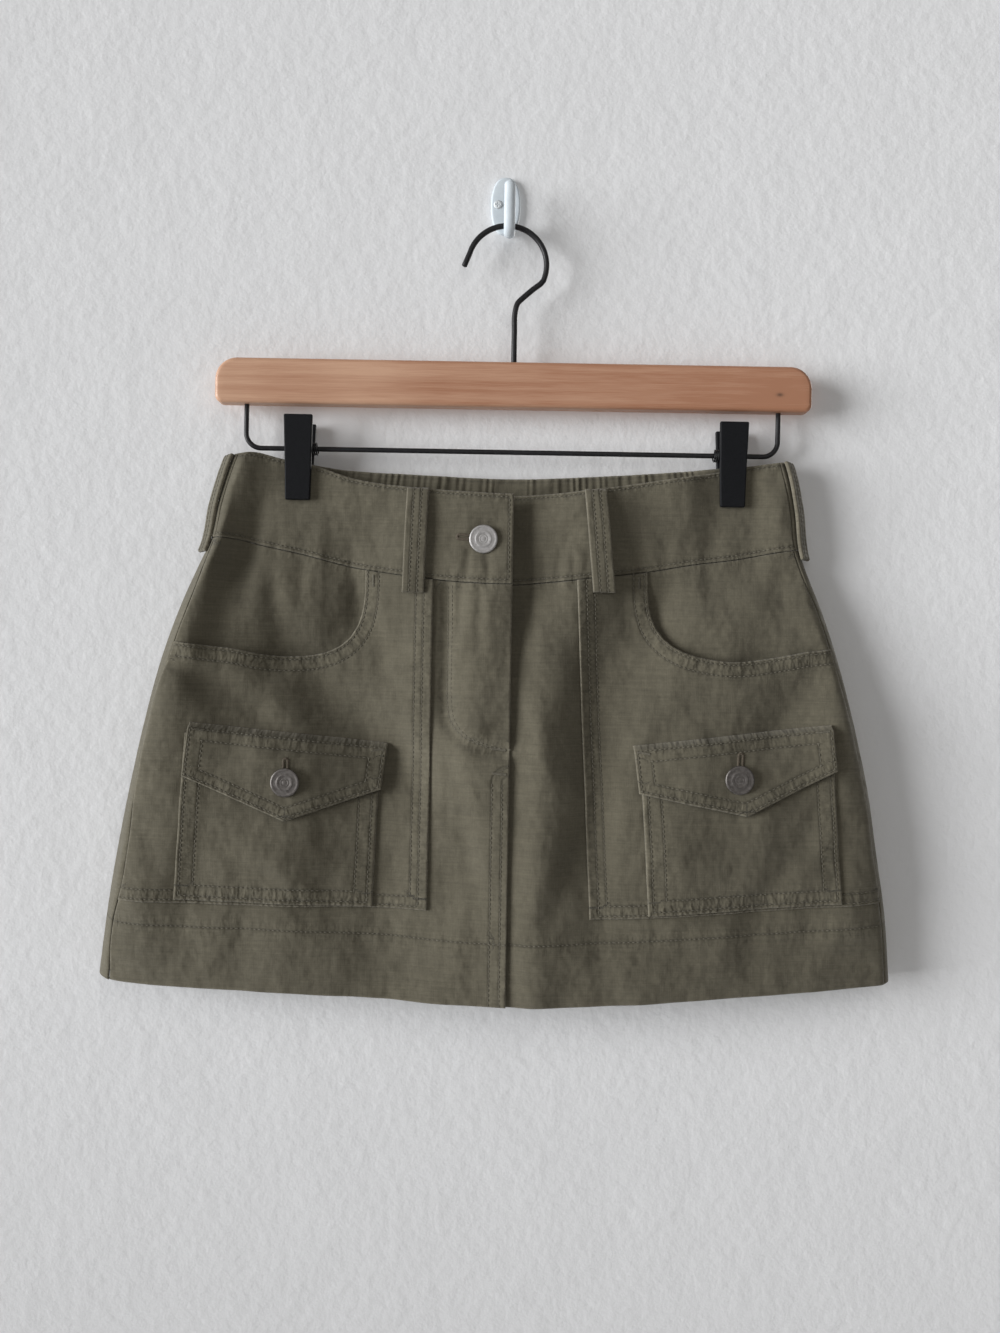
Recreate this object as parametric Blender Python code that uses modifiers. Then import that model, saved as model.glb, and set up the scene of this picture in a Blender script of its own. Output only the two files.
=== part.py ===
"""Cargo utility skirt on a clip hanger and its wall hook, at real size.

The origin is the middle of the wall hook's back face. +X is to the viewer's right, +Z is up and -Y
is towards the viewer, so the wall is the plane y = 0. "Right" and "left" in a name are the wearer's.
Lengths in the constants and tables are millimetres in the hanger's frame, whose zero lies on the
wall at the point where the hanger's wire rests in the hook. The cloth is drawn in elevation: its
pieces are outlines in x and z, and a few functions give the depth y of each layer there.
"""

import math

import bmesh
import bpy
import numpy as np

MM = 0.001
SEAT = (1.6, 0.0, -16.5)  # the hanger's frame, seen from the middle of the wall hook's back
SEAM_GAP = 0.3  # between pieces that meet
HANGER_Y = -12.0  # middle plane of the hanger, of its clips and of the cloth they grip

# Walls of the cloth
PANEL_WALL = 1.5
HEM_WALL = 2.3
HEM_SHARE = 0.855  # where the turned-up hem begins, on the way from the waist seam to the hem
BAND_WALL = 2.4
BAND_ROWS = (0.0, 0.5, 1.0)
BAND_PROUD = 0.6  # how far the band's face stands out over the panels
OVERLAY_WALL = 1.3  # utility panels, pockets and flaps
OVERLAY_GAP = 0.9  # clear of what they lie on

# Outline of the hanging skirt from the front. A row is one height along the side folds.
# height, left fold, right fold, radius of the side fold, bulge of the front, bulge of the back
OUTLINE = np.array((
    (-137, -160.5, 169.0, 4.2, 8.0, 2.0),
    (-152, -164.5, 173.5, 4.4, 9.0, 2.4),
    (-168, -168.5, 178.0, 4.6, 10.0, 2.6),
    (-193, -173.5, 180.5, 5.0, 12.0, 2.8),
    (-204, -181.0, 183.5, 5.2, 13.0, 2.8),
    (-227, -191.0, 192.0, 5.6, 15.0, 2.6),
    (-263, -203.5, 204.0, 6.2, 18.0, 2.4),
    (-299, -212.5, 213.5, 6.8, 21.0, 2.2),
    (-335, -220.0, 221.5, 7.2, 23.0, 2.0),
    (-371, -226.5, 227.0, 7.6, 24.5, 1.8),
    (-407, -232.0, 232.5, 7.8, 25.5, 1.6),
    (-451, -237.0, 236.0, 8.0, 26.5, 1.4),
), float)
UP_OUTLINE = OUTLINE[::-1]

# Level lines of the front and the back: x, height. They sag towards the middle.
SAG_AT_WAIST, SAG_AT_HEM = 20.0, 9.0
BAND_TOP_FRONT = ((-161, -139), (-148, -138), (-134, -141), (-112, -145.5), (-90, -152.5), (-60, -157),
                  (-30, -159.5), (6, -161), (30, -160), (60, -156.5), (88, -152), (116, -147.5),
                  (140, -142.5), (158, -139.5), (170, -138))
BAND_SEAM_FRONT = ((-174, -189), (-157, -190), (-142, -193.5), (-120, -198), (-90, -205), (-59, -210),
                   (-25, -213.5), (6, -214.5), (26, -213), (46, -211), (86, -205.5), (118, -200),
                   (140, -197), (158, -193.5), (180, -190))
HEM_FRONT = ((-237, -450.5), (-228, -452), (-200, -453.5), (-124, -455), (-80, -456.5), (-37, -458.5),
             (6, -459), (35, -458.5), (78, -457), (122, -454.5), (168, -452), (200, -450), (236, -447.5))
BAND_TOP_BACK = ((-161, -139), (-134, -141), (-104, -145.5), (-47, -148.5), (4, -150), (58, -147.5),
                 (106, -144), (140, -141), (170, -138))
BAND_SEAM_BACK = ((-174, -189), (-134, -193), (-104, -197.5), (-47, -201.5), (4, -203), (58, -201.5),
                  (106, -197), (140, -193), (180, -190))
HEM_BACK = ((-237, -450.5), (-120, -452), (0, -453), (120, -450.5), (236, -447.5))

# How far the back comes round to the front at the wearer's right side seam: height, width
WRAP_RIGHT = ((-451, 9.0), (-415, 8.5), (-399, 11.0), (-330, 8.0), (-287, 6.5), (-251, 9.0),
              (-225, 7.5), (-193, 3.5))
WRAP_LEFT = 4.5
WRAP_BAND = 4.0

# Clips, where both layers are gripped, and how the cloth leaves them
CLIP_X = (-122.5, 136.5)
CLIP_WIDTH, CLIP_TOP_WIDTH = 14.8, 17.2
CLIP_TOP_Z, CLIP_BOTTOM_Z = -115.5, -166.0
GRIP_MARGIN = 1.0
PINCH_RELEASE = 85.0  # below the jaws the layers part again over this height
PINCH_SPREAD = 20.0  # sideways, at the jaws
PINCH_WIDENING = 20.0  # more of it at the end of the release
GRIPPED_HALF = 2.7  # half of both layers, without the band's proud face

# Large folds of the front. A trough has a negative height.
FOLD_FADE = 2.0  # widths over which an end fades
SIDE_FADE = 13.0  # distance from a side fold over which relief and gathers grow
# x and z of the upper end, x and z of the lower end, half width, height
FRONT_FOLDS = (
    (-156, -150, -172, -196, 9, 4.0),
    (-172, -196, -182, -262, 9, 3.5),
    (-143, -172, -158, -205, 11, -4.0),
    (-158, -205, -172, -250, 13, -4.5),
    (-96, -205, -84, -232, 10, -2.0),
    (-112, -275, -64, -318, 19, -2.4),
    (-30, -222, -34, -290, 11, -2.0),
    (-14, -225, -16, -300, 15, 2.5),
    (33, -250, 44, -372, 15, -3.5),
    (16, -330, 14, -440, 17, 2.5),
    (74, -225, 50, -300, 17, -2.0),
    (193, -262, 160, -300, 18, -2.4),
    (-40, -340, -20, -400, 14, -2.0),
)

# The closed front: the wearer's right side laps over the left
FRONT_EDGE_X = 6.3
LAP_STEP = 3.2  # the lower layer's own step back
LAP_RISE = 24.0  # it comes level again over this width
# height, width of the lap, how far the lower layer stands back below the edge
LAP = np.array((
    (-460, 7, 0.0),
    (-345, 7, 0.0),
    (-322, 8, 0.2),
    (-300, 26, 1.6),
    (-214, 32, 4.4),
    (-138, 34, 5.0),
), float)

# Elastic at the back waist
BACK_GATHERS = 88
GATHER_HEIGHT = 0.9
PANEL_GATHERS = 30  # the larger ones, which run on down the back panel
PANEL_GATHER_HEIGHT = 1.3
FLAT_PATCH_X, FLAT_PATCH_HALF, PATCH_FADE = 4.0, 8.5, 3.0  # under the centre back loop

# Utility panels, by the wearer's side: inner edge as x at two heights, bottom edge, scoop mouth
UTILITY_INNER = {"right": ((-406, -40.3), (-214, -40.5)), "left": ((-408.5, 54.0), (-211, 44.2))}
UTILITY_BOTTOM = {"right": ((-221, -403), (-128, -405), (-40, -406)),
                  "left": ((54, -408.5), (140, -404), (229, -398.5))}
MOUTH_START = {"right": -81.7, "left": 86.8}
MOUTH_WIDTH = 108.0
MOUTH_DROP = {"right": 66.5, "left": 63.5}
MOUTH_SIDE_RISE = 4.0  # at the side seam
MOUTH_CORNER = 3.2  # exponent of the scoop's corner

# Flaps and cargo pockets, as corners in x and z
# outer top, inner top, inner bottom, point, outer bottom
FLAP = {
    "right": ((-180.0, -298.6), (-66.0, -309.9), (-68.9, -336.7), (-123.6, -355.0), (-183.0, -329.5)),
    "left": ((194.3, -294.2), (78.0, -308.0), (81.2, -335.2), (143.9, -347.4), (197.0, -320.8)),
}
# outer top, inner top, inner bottom, outer bottom
POCKET = {
    "right": ((-182.5, -304.6), (-70.0, -315.9), (-72.5, -405.0), (-187.2, -401.5)),
    "left": ((194.5, -300.3), (82.0, -314.0), (87.5, -405.5), (201.6, -398.6)),
}
POCKET_SWELL = 3.0
FLAP_SWELL = 0.8
FLAP_TUCK = 0.13  # share of the flap's height in which it rises over the pocket's top edge

# Belt loops
LOOP_WIDTH = 13.0
LOOP_WALL = 2.2
FRONT_LOOPS = {"right": (-50.4, -52.4), "left": (54.5, 60.2)}  # x at the top, x at the bottom
LOOP_BELOW_SEAM = 9.5
# share of its length, how far it stands off the band
FRONT_LOOP_STANDOFF = ((0.0, 0.3), (0.2, 1.6), (0.5, 2.8), (0.8, 2.6), (1.0, 2.0))
BACK_LOOP_STANDOFF = ((0.0, 0.3), (0.5, 1.3), (1.0, 0.3))
# outward from the side fold, height over the band's top there
SIDE_LOOP_PATH = ((1.6, -0.8), (4.6, -2.2), (5.9, -7.0), (5.6, -16.0), (5.4, -26.0), (4.8, -38.0),
                  (4.2, -47.0), (3.2, -53.0), (1.45, -58.5))
SIDE_LOOP_REACH = {"right": 1.0, "left": 0.8}
SIDE_LOOP_TURN = 30.0  # degrees that a side loop is turned to the viewer


# Tack buttons
BUTTON_RADIUS, SHANK_RADIUS = 8.4, 3.0
RIM_LIFT = 1.1  # of the rim's back over the shank's end
WAIST_BUTTON = (-11.2, -188.5)
FLAP_BUTTONS = {"right": (-123.4, -332.5), "left": (139.0, -326.3)}
# radius and height over the cloth, from the middle of the face round the rim to the shank
BUTTON_PROFILE = ((0.0, 2.5), (4.4, 2.5), (4.9, 2.2), (7.0, 2.2), (7.6, 2.5), (BUTTON_RADIUS, 1.9),
                  (8.2, RIM_LIFT), (3.2, 0.9), (SHANK_RADIUS, 0.0), (0.0, 0.0))

# Hanger
BAR_LEFT, BAR_RIGHT = -173.0, 183.0
BAR_TOP, BAR_BOTTOM = -81.5, -108.5
BAR_THICKNESS = 12.0
BAR_TOP_CORNER, BAR_BOTTOM_CORNER = 13.0, 4.5
BAR_EDGE = 1.6
WIRE_RADIUS = 1.7
HOOK_RADIUS = 23.6
HOOK_CENTRE_Z = -22.4
HOOK_START, HOOK_END = 163.0, -22.0  # degrees
HOOK_TIP = (-25.7, -23.0)
# the wire's way from the round hook to the bar
HOOK_STEM = ((15.8, -36.6), (10.4, -41.3), (6.6, -45.2), (5.2, -50.5), (5.0, -62.0))
RAIL_RADIUS = 1.5
RAIL_LEFT, RAIL_RIGHT, RAIL_Z = -154.7, 164.0, -134.7
RAIL_CORNER = 9.0
# a jaw's side view: distance from the hanger's middle plane, height
JAW = ((3.7, CLIP_BOTTOM_Z), (3.7, -147.0), (4.6, -134.0), (6.2, CLIP_TOP_Z), (9.6, CLIP_TOP_Z),
       (8.2, -134.0), (7.1, -147.0), (7.1, CLIP_BOTTOM_Z))
BACK_JAW_TOP_DROP = 3.0
JAW_EDGE = 0.6
BARREL_RADIUS, BARREL_LENGTH = 4.2, 13.0

# Wall hook
PLATE_X, PLATE_Z = -SEAT[0], -SEAT[2]
PLATE_WIDTH, PLATE_HEIGHT, PLATE_THICKNESS = 18.0, 35.0, 3.0
ARM_RADIUS = 2.6
ARM_X = 0.9
# depth y, height z
ARM_PATH = ((-3.4, 1.6), (-4.6, 1.6), (-8.2, -2.0), (-12.0, -3.5), (-15.6, -2.0), (-17.4, 2.2),
            (-17.6, 9.0), (-17.2, 17.0), (-17.6, 23.0), (-18.6, 27.5))
SCREW_X, SCREW_Z, SCREW_RADIUS = -6.3, 17.2, 2.6

COLOURS = {
    # linear red, green and blue, roughness, metallic
    "canvas": (0.105, 0.096, 0.072, 0.92, 0.0),
    "pewter": (0.36, 0.35, 0.345, 0.42, 1.0),
    "dark_pewter": (0.12, 0.112, 0.105, 0.45, 1.0),
    "beech": (0.46, 0.27, 0.17, 0.5, 0.0),
    "black_steel": (0.02, 0.02, 0.022, 0.45, 0.6),
    "black_plastic": (0.018, 0.019, 0.022, 0.55, 0.0),
    "white_plastic": (0.72, 0.76, 0.79, 0.35, 0.0),
    "steel": (0.5, 0.5, 0.5, 0.35, 1.0),
}


def make_material(name):
    red, green, blue, roughness, metallic = COLOURS[name]
    material = bpy.data.materials.new(name)
    material.use_nodes = True
    shader = material.node_tree.nodes["Principled BSDF"]
    shader.inputs["Base Color"].default_value = (red, green, blue, 1.0)
    shader.inputs["Roughness"].default_value = roughness
    shader.inputs["Metallic"].default_value = metallic
    material.diffuse_color = (red, green, blue, 1.0)
    return material


class Workshop:
    """The collection, the hanging point and the materials that every piece shares."""

    def __init__(self):
        for thing in list(bpy.data.objects):
            bpy.data.objects.remove(thing, do_unlink=True)
        self.collection = bpy.data.collections.new("cargo_skirt_on_hanger")
        bpy.context.scene.collection.children.link(self.collection)
        self.seat = bpy.data.objects.new("hanger_seat", None)
        self.seat.location = [value * MM for value in SEAT]
        self.collection.objects.link(self.seat)
        self.materials = {name: make_material(name) for name in COLOURS}

    def add(self, name, data, material, location=(0.0, 0.0, 0.0), turn=(0.0, 0.0, 0.0)):
        """Links a new object, in the hanger's frame: location in millimetres, turn in degrees."""
        thing = bpy.data.objects.new(name, data)
        self.collection.objects.link(thing)
        thing.parent = self.seat
        thing.location = [value * MM for value in location]
        thing.rotation_euler = [math.radians(angle) for angle in turn]
        data.materials.append(self.materials[material])
        return thing


def curve_through(rows, at):
    """A smooth curve through rows of (place, value), read at any place and level past both ends."""
    places, values = np.asarray(rows, float).T
    slopes = np.gradient(values, places)
    at = np.clip(at, places[0], places[-1])
    index = np.clip(np.searchsorted(places, at) - 1, 0, len(places) - 2)
    span = places[index + 1] - places[index]
    share = (at - places[index]) / span
    rise = values[index + 1] - values[index]
    start, end = slopes[index] * span, slopes[index + 1] * span
    bend = 3 * rise - 2 * start - end + share * (start + end - 2 * rise)
    return values[index] + share * (start + share * bend)


def smoothstep(value):
    value = np.clip(value, 0.0, 1.0)
    return value * value * (3.0 - 2.0 * value)


# Depth of the cloth's layers


def outline(column, level):
    return curve_through(UP_OUTLINE[:, (0, column)], level)


def share_across(x, level):
    """-1 at the left fold, 1 at the right one."""
    left, right = outline(1, level), outline(2, level)
    return np.clip((2.0 * x - left - right) / (right - left), -1.0, 1.0)


def side_level(x, z):
    """Height at the side folds of the level line through (x, z), which sags towards the middle."""
    level = z
    for _ in range(3):
        below_waist = smoothstep((-200.0 - level) / 250.0)
        sag = SAG_AT_WAIST + (SAG_AT_HEM - SAG_AT_WAIST) * below_waist
        level = z + sag * (1.0 - share_across(x, level) ** 2)
    return level


def pinch(x, z):
    """1 where a clip grips the layers, 0 where they hang free."""
    release = np.clip((CLIP_BOTTOM_Z - z) / PINCH_RELEASE, 0.0, 1.0)
    spread = PINCH_SPREAD + PINCH_WIDENING * release
    beside = np.min([np.abs(x - middle) for middle in CLIP_X], axis=0) - CLIP_WIDTH / 2 - GRIP_MARGIN
    return (1.0 - smoothstep(beside / spread)) * (1.0 - smoothstep(release))


def fold_relief(x, z, folds):
    """Height of the soft troughs and ridges of a table of folds, which fade out past their ends."""
    relief = 0.0
    for x0, z0, x1, z1, width, height in folds:
        length = math.hypot(x1 - x0, z1 - z0)
        along = ((x - x0) * (x1 - x0) + (z - z0) * (z1 - z0)) / length
        across = ((x - x0) * (z1 - z0) - (z - z0) * (x1 - x0)) / length
        past_end = np.maximum(np.maximum(-along, along - length), 0.0)
        relief = relief + height * np.exp(-(across / width) ** 2 - (past_end / width / FOLD_FADE) ** 2)
    return relief


def half_depth(x, level, bulge_column):
    """A layer's distance from the middle plane: a round fold at each side, and a bulge between."""
    radius = outline(3, level)
    inset = np.clip(np.minimum(x - outline(1, level), outline(2, level) - x), 0.0, radius)
    round_edge = np.sqrt(radius ** 2 - (radius - inset) ** 2)
    return round_edge + outline(bulge_column, level) * (1.0 - share_across(x, level) ** 2)


def front_y(x, z):
    """Outer face of the front layer."""
    level = side_level(x, z)
    grip = pinch(x, z)
    inset = np.minimum(x - outline(1, level), outline(2, level) - x)
    relief = smoothstep(inset / SIDE_FADE) * fold_relief(x, z, FRONT_FOLDS)
    return HANGER_Y - (half_depth(x, level, 4) + relief) * (1.0 - grip) - GRIPPED_HALF * grip


def lower_lap_y(x, z):
    """Outer face of the wearer's left front, which stands back at the front edge."""
    rise = 1.0 - smoothstep((x - FRONT_EDGE_X - 1.0) / LAP_RISE)
    return front_y(x, z) + rise * (LAP_STEP + curve_through(LAP[:, (0, 2)], z))


def back_y(x, z):
    """Outer face of the back layer, next to the wall, without its gathers."""
    grip = pinch(x, z)
    return HANGER_Y + half_depth(x, side_level(x, z), 5) * (1.0 - grip) + GRIPPED_HALF * grip


# Side seams, as x at a height


def right_seam_x(z):
    return outline(1, z) + curve_through(WRAP_RIGHT, z)


def left_seam_x(z):
    return outline(2, z) - WRAP_LEFT


def right_band_seam_x(z):
    return outline(1, z) + WRAP_BAND


def left_band_seam_x(z):
    return outline(2, z) - WRAP_BAND


# Lines and grids in elevation


def through(rows, shift=0.0):
    """A line as a function, smooth through its rows."""
    return lambda at: curve_through(rows, at) + shift


def straight(rows, shift=0.0):
    """A line as a function, straight between its rows."""
    places, values = np.array(sorted(rows), float).T
    return lambda at: np.interp(at, places, values) + shift


def upright(top, bottom):
    """x as a function of height, on the straight line through two corners."""
    slope = (top[0] - bottom[0]) / (top[1] - bottom[1])
    return lambda z: top[0] + (z - top[1]) * slope


def places(*steps):
    """Places on a run of numbered lines, with a number of steps from each line to the next."""
    return np.concatenate([[0.0]] + [i + np.linspace(0.0, 1.0, n + 1)[1:] for i, n in enumerate(steps)])


def between(lines, place, at):
    """Value at a place on numbered lines: 1.25 is a quarter of the way from line 1 to line 2."""
    values = [line(at) + 0.0 * at for line in lines]
    return values[0] + sum((end - start) * np.clip(place - number, 0.0, 1.0)
                           for number, (start, end) in enumerate(zip(values, values[1:])))


def elevation_grid(uprights, across, levels, down):
    """Points x and z at places on upright lines, x of z, and at places on level lines, z of x."""
    across, down = np.meshgrid(across, down, indexing="ij")
    z = np.full(across.shape, -250.0)
    for _ in range(8):
        x = between(uprights, across, z)
        z = between(levels, down, x)
    return x, z


def cloth_points(x, z, surface, forward=0.0):
    return np.stack((x, surface(x, z) - forward, z), -1)


def wall_faces(rows, columns):
    """Quads of a closed wall: an outer grid, an inner grid and the rim between them."""
    outer = np.arange(rows * columns).reshape(rows, columns)
    inner = outer + rows * columns

    def sheet(grid):
        return np.stack((grid[:-1, :-1], grid[1:, :-1], grid[1:, 1:], grid[:-1, 1:]), -1).reshape(-1, 4)

    def ribbon(first, second):
        return np.stack((first[:-1], first[1:], second[1:], second[:-1]), -1)

    return np.concatenate((
        sheet(outer), sheet(inner)[:, ::-1], ribbon(inner[:, 0], outer[:, 0]),
        ribbon(outer[:, -1], inner[:, -1]), ribbon(outer[0], inner[0]), ribbon(inner[-1], outer[-1])))


def close_outward(mesh):
    """Turns the faces of a closed mesh outward."""
    shape = bmesh.new()
    shape.from_mesh(mesh)
    if shape.calc_volume(signed=True) < 0.0:
        bmesh.ops.reverse_faces(shape, faces=shape.faces)
    shape.to_mesh(mesh)
    shape.free()


def add_cloth(shop, name, outer, inner):
    """A closed wall of cloth between two grids of points, faces outward."""
    points = np.concatenate((outer.reshape(-1, 3), inner.reshape(-1, 3))) * MM
    mesh = bpy.data.meshes.new(name)
    mesh.from_pydata(points.tolist(), [], wall_faces(*outer.shape[:2]).tolist())
    close_outward(mesh)
    mesh.shade_smooth()
    mesh.set_sharp_from_angle(angle=math.radians(50.0))
    return shop.add(name, mesh, "canvas")


def behind(points, wall):
    """The inner grid of a front wall, straight behind the outer one."""
    return points + np.stack((0.0 * wall, wall, 0.0 * wall), -1)


# Front


def panel_rows():
    """Rows of a panel, with two close ones where the turned-up hem begins, and the walls there."""
    down = np.concatenate((np.linspace(0.0, HEM_SHARE, 13), (HEM_SHARE + 0.01, 0.93, 1.0)))
    return down, np.where(down > HEM_SHARE, HEM_WALL, PANEL_WALL)


FRONT_LEVELS = (through(BAND_SEAM_FRONT, -SEAM_GAP), through(HEM_FRONT))


def utility_uprights(side):
    """Lines from a utility panel's inner edge to its side seam, close together at the scoop's corner."""
    seam, inward = (right_seam_x, 1.0) if side == "right" else (left_seam_x, -1.0)
    mouth = MOUTH_START[side]
    return (through(UTILITY_INNER[side]), lambda z: mouth + 0.0 * z, lambda z: mouth - 5.0 * inward,
            lambda z: mouth - 22.0 * inward, lambda z: seam(z) + SEAM_GAP * inward)


UTILITY_ACROSS = places(3, 2, 2, 8)


def add_front_panels(shop):
    down, wall = panel_rows()
    edge = (lambda z: FRONT_EDGE_X,)
    under = (lambda z: FRONT_EDGE_X - curve_through(LAP[:, (0, 1)], z),)
    pieces = {
        "front_right_panel": (front_y, edge + utility_uprights("right"), places(4, 3, 2, 2, 8)),
        "front_left_panel": (lower_lap_y, under + edge + utility_uprights("left"),
                             places(2, 4, 3, 2, 2, 8)),
    }
    for name, (surface, uprights, across) in pieces.items():
        outer = cloth_points(*elevation_grid(uprights, across, FRONT_LEVELS, down), surface)
        add_cloth(shop, name, outer, behind(outer, wall + np.zeros(outer.shape[:2])))


def add_front_band(shop):
    levels = (through(BAND_TOP_FRONT), through(BAND_SEAM_FRONT))
    grip = CLIP_WIDTH / 2 + GRIP_MARGIN
    right_clip, left_clip = CLIP_X
    pieces = {
        "waistband_front_right": (front_y, places(4, 2, 11), (
            lambda z: right_band_seam_x(z) + SEAM_GAP,
            lambda z: right_clip - grip, lambda z: right_clip + grip, lambda z: FRONT_EDGE_X)),
        "waistband_front_left": (lower_lap_y, places(4, 10, 2, 4), (
            lambda z: FRONT_EDGE_X - curve_through(LAP[:, (0, 1)], z), lambda z: FRONT_EDGE_X + 1.0,
            lambda z: left_clip - grip, lambda z: left_clip + grip,
            lambda z: left_band_seam_x(z) - SEAM_GAP)),
    }
    for name, (surface, across, uprights) in pieces.items():
        outer = cloth_points(*elevation_grid(uprights, across, levels, BAND_ROWS), surface, BAND_PROUD)
        add_cloth(shop, name, outer, behind(outer, np.full(outer.shape[:2], BAND_WALL)))


def utility_y(x, z):
    """Outer face of the utility panels."""
    return front_y(x, z) - OVERLAY_GAP - OVERLAY_WALL


def add_utility_panel(shop, side):
    """The panel's rows are those of the front panel below it, drawn together under the scoop mouth."""
    inward = 1.0 if side == "right" else -1.0
    waist, hem = FRONT_LEVELS
    full_row = panel_rows()[0][4]

    def mouth(x):
        along = np.clip((MOUTH_START[side] - x) * inward / MOUTH_WIDTH, 0.0, 1.0)
        corner = (1.0 - (1.0 - along) ** MOUTH_CORNER) ** (1.0 / MOUTH_CORNER)
        return waist(x) - MOUTH_DROP[side] * corner + MOUTH_SIDE_RISE * along ** 4

    levels = (mouth, lambda x: waist(x) + (hem(x) - waist(x)) * full_row, through(UTILITY_BOTTOM[side]))
    x, z = elevation_grid(utility_uprights(side), UTILITY_ACROSS, levels, places(4, 7))
    outer = cloth_points(x, z, utility_y)
    add_cloth(shop, f"utility_panel_{side}", outer, behind(outer, np.full(x.shape, OVERLAY_WALL)))


def pocket_swell(side, x, z):
    """How far a cargo pocket stands out between its sewn edges."""
    outer_top, inner_top, inner_bottom, outer_bottom = POCKET[side]
    outer, inner = upright(outer_top, outer_bottom)(z), upright(inner_top, inner_bottom)(z)
    across = np.clip((x - outer) / (inner - outer), 0.0, 1.0)
    top, bottom = straight((outer_top, inner_top))(x), straight((outer_bottom, inner_bottom))(x)
    down = np.clip((z - top) / (bottom - top), 0.0, 1.0)
    return POCKET_SWELL * (1.0 - (2.0 * across - 1.0) ** 4) * (0.35 + 0.65 * down) * (1.0 - down ** 4)


def pocket_y(side):
    """Outer face of a cargo pocket."""
    return lambda x, z: utility_y(x, z) - OVERLAY_GAP - OVERLAY_WALL - pocket_swell(side, x, z)


def flap_rise(side, x, z):
    """0 where the flap is sewn to the panel, 1 from where it lies over the pocket."""
    outer_top, inner_top, inner_bottom, _, outer_bottom = FLAP[side]
    top = straight((outer_top, inner_top))(x)
    height = straight((outer_bottom, inner_bottom))(x) - top
    return np.clip((z - top) / height / FLAP_TUCK, 0.0, 1.0)


def flap_y(side):
    """Outer face of a pocket flap."""
    def surface(x, z):
        rise = flap_rise(side, x, z)
        over_pocket = pocket_y(side)(x, z) - FLAP_SWELL
        return utility_y(x, z) * (1.0 - rise) + over_pocket * rise - OVERLAY_GAP - OVERLAY_WALL
    return surface


def add_pocket(shop, side):
    outer_top, inner_top, inner_bottom, outer_bottom = POCKET[side]
    uprights = (upright(outer_top, outer_bottom), upright(inner_top, inner_bottom))
    levels = (straight((outer_top, inner_top)), straight((outer_bottom, inner_bottom)))
    x, z = elevation_grid(uprights, places(10), levels, places(8))
    outer = cloth_points(x, z, pocket_y(side))
    add_cloth(shop, f"cargo_pocket_{side}", outer, behind(outer, np.full(x.shape, OVERLAY_WALL)))


def add_flap(shop, side):
    outer_top, inner_top, inner_bottom, point, outer_bottom = FLAP[side]
    uprights = (upright(outer_top, outer_bottom), lambda z: point[0] + 0.0 * z,
                upright(inner_top, inner_bottom))
    levels = (straight((outer_top, inner_top)), straight((outer_bottom, point, inner_bottom)))
    x, z = elevation_grid(uprights, places(6, 6), levels, (0.0, FLAP_TUCK, 0.4, 0.7, 1.0))
    outer = cloth_points(x, z, flap_y(side))
    add_cloth(shop, f"pocket_flap_{side}", outer, behind(outer, np.full(x.shape, OVERLAY_WALL)))


# Back


def fold_stations(side, seam, lines, share):
    """Stations round a side fold, from the seam on the front to the start of the flat back.

    side is -1 for the left fold as seen, 1 for the right one. Returns x and the angle of the outward
    normal: 90 degrees faces the viewer, 0 points out at the side and -90 faces the wall.
    """
    z = -250.0
    for _ in range(8):
        z = lines[0](seam(z)) + (lines[1](seam(z)) - lines[0](seam(z))) * share
    edge, radius = outline(1 if side < 0 else 2, z), outline(3, z)
    wrap = abs(seam(z) - edge)
    seam_angle = np.arccos(np.clip((radius - wrap) / radius, 0.0, 1.0))
    arc_start = seam_angle * (0.55 + 0.45 * smoothstep((wrap / radius - 1.0) / 0.4))
    arc = arc_start + (-math.pi / 2 - arc_start) * np.linspace(0.0, 1.0, 6)
    x = edge - side * radius * (1.0 - np.cos(arc))
    return np.concatenate(([seam(z)], x)), np.concatenate(([seam_angle], arc))


def wrapped_row(share, front_lines, back_lines, seams, columns, lift, wave):
    """One row round the back, from front seam to front seam: outer points, and normals to go inward."""
    x_left, a_left = fold_stations(-1.0, seams[0], front_lines, share)
    x_right, a_right = fold_stations(1.0, seams[1], front_lines, share)
    flat = x_left[-1] + (x_right[-1] - x_left[-1]) * np.linspace(0.0, 1.0, columns + 1)[1:-1]
    x = np.concatenate((x_left, flat, x_right[::-1]))
    angle = np.concatenate((a_left, np.full(len(flat), -math.pi / 2), a_right[::-1]))
    outward = np.where(x < 0.0, -1.0, 1.0)
    normal = np.stack((outward * np.cos(angle), -np.sin(angle), 0.0 * x), -1)
    normal[0] = normal[-1] = (0.0, -1.0, 0.0)
    on_front = angle > 0.0
    top = np.where(on_front, front_lines[0](x), back_lines[0](x))
    bottom = np.where(on_front, front_lines[1](x), back_lines[1](x))
    z = top + (bottom - top) * share
    y = np.where(on_front, front_y(x, z), back_y(x, z))
    inset = np.minimum(x - x_left[-1], x_right[-1] - x)
    ripple = np.where(angle < -1.5, wave(x, z, share) * smoothstep(inset / SIDE_FADE), 0.0)
    return np.stack((x, y, z), -1) + normal * (lift + ripple)[:, None], normal


def add_wrapped(shop, name, shares, walls, **shape):
    rows = [wrapped_row(share, **shape) for share in shares]
    outer = np.stack([points for points, _ in rows], 1)
    inner = np.stack([points - normal * wall for (points, normal), wall in zip(rows, walls)], 1)
    add_cloth(shop, name, outer, inner)


def beside_patch(x):
    """0 on the flat patch under the centre back loop, 1 where the cloth is gathered."""
    return smoothstep((np.abs(x - FLAT_PATCH_X) - FLAT_PATCH_HALF) / PATCH_FADE)


def gathers(x, z, height):
    """Each column of points is in turn the top and the foot of a gather."""
    side = np.where(np.arange(len(x)) % 2 == 0, 1.0, -1.0)
    return side * height * beside_patch(x) * (1.0 - pinch(x, z))


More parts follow.
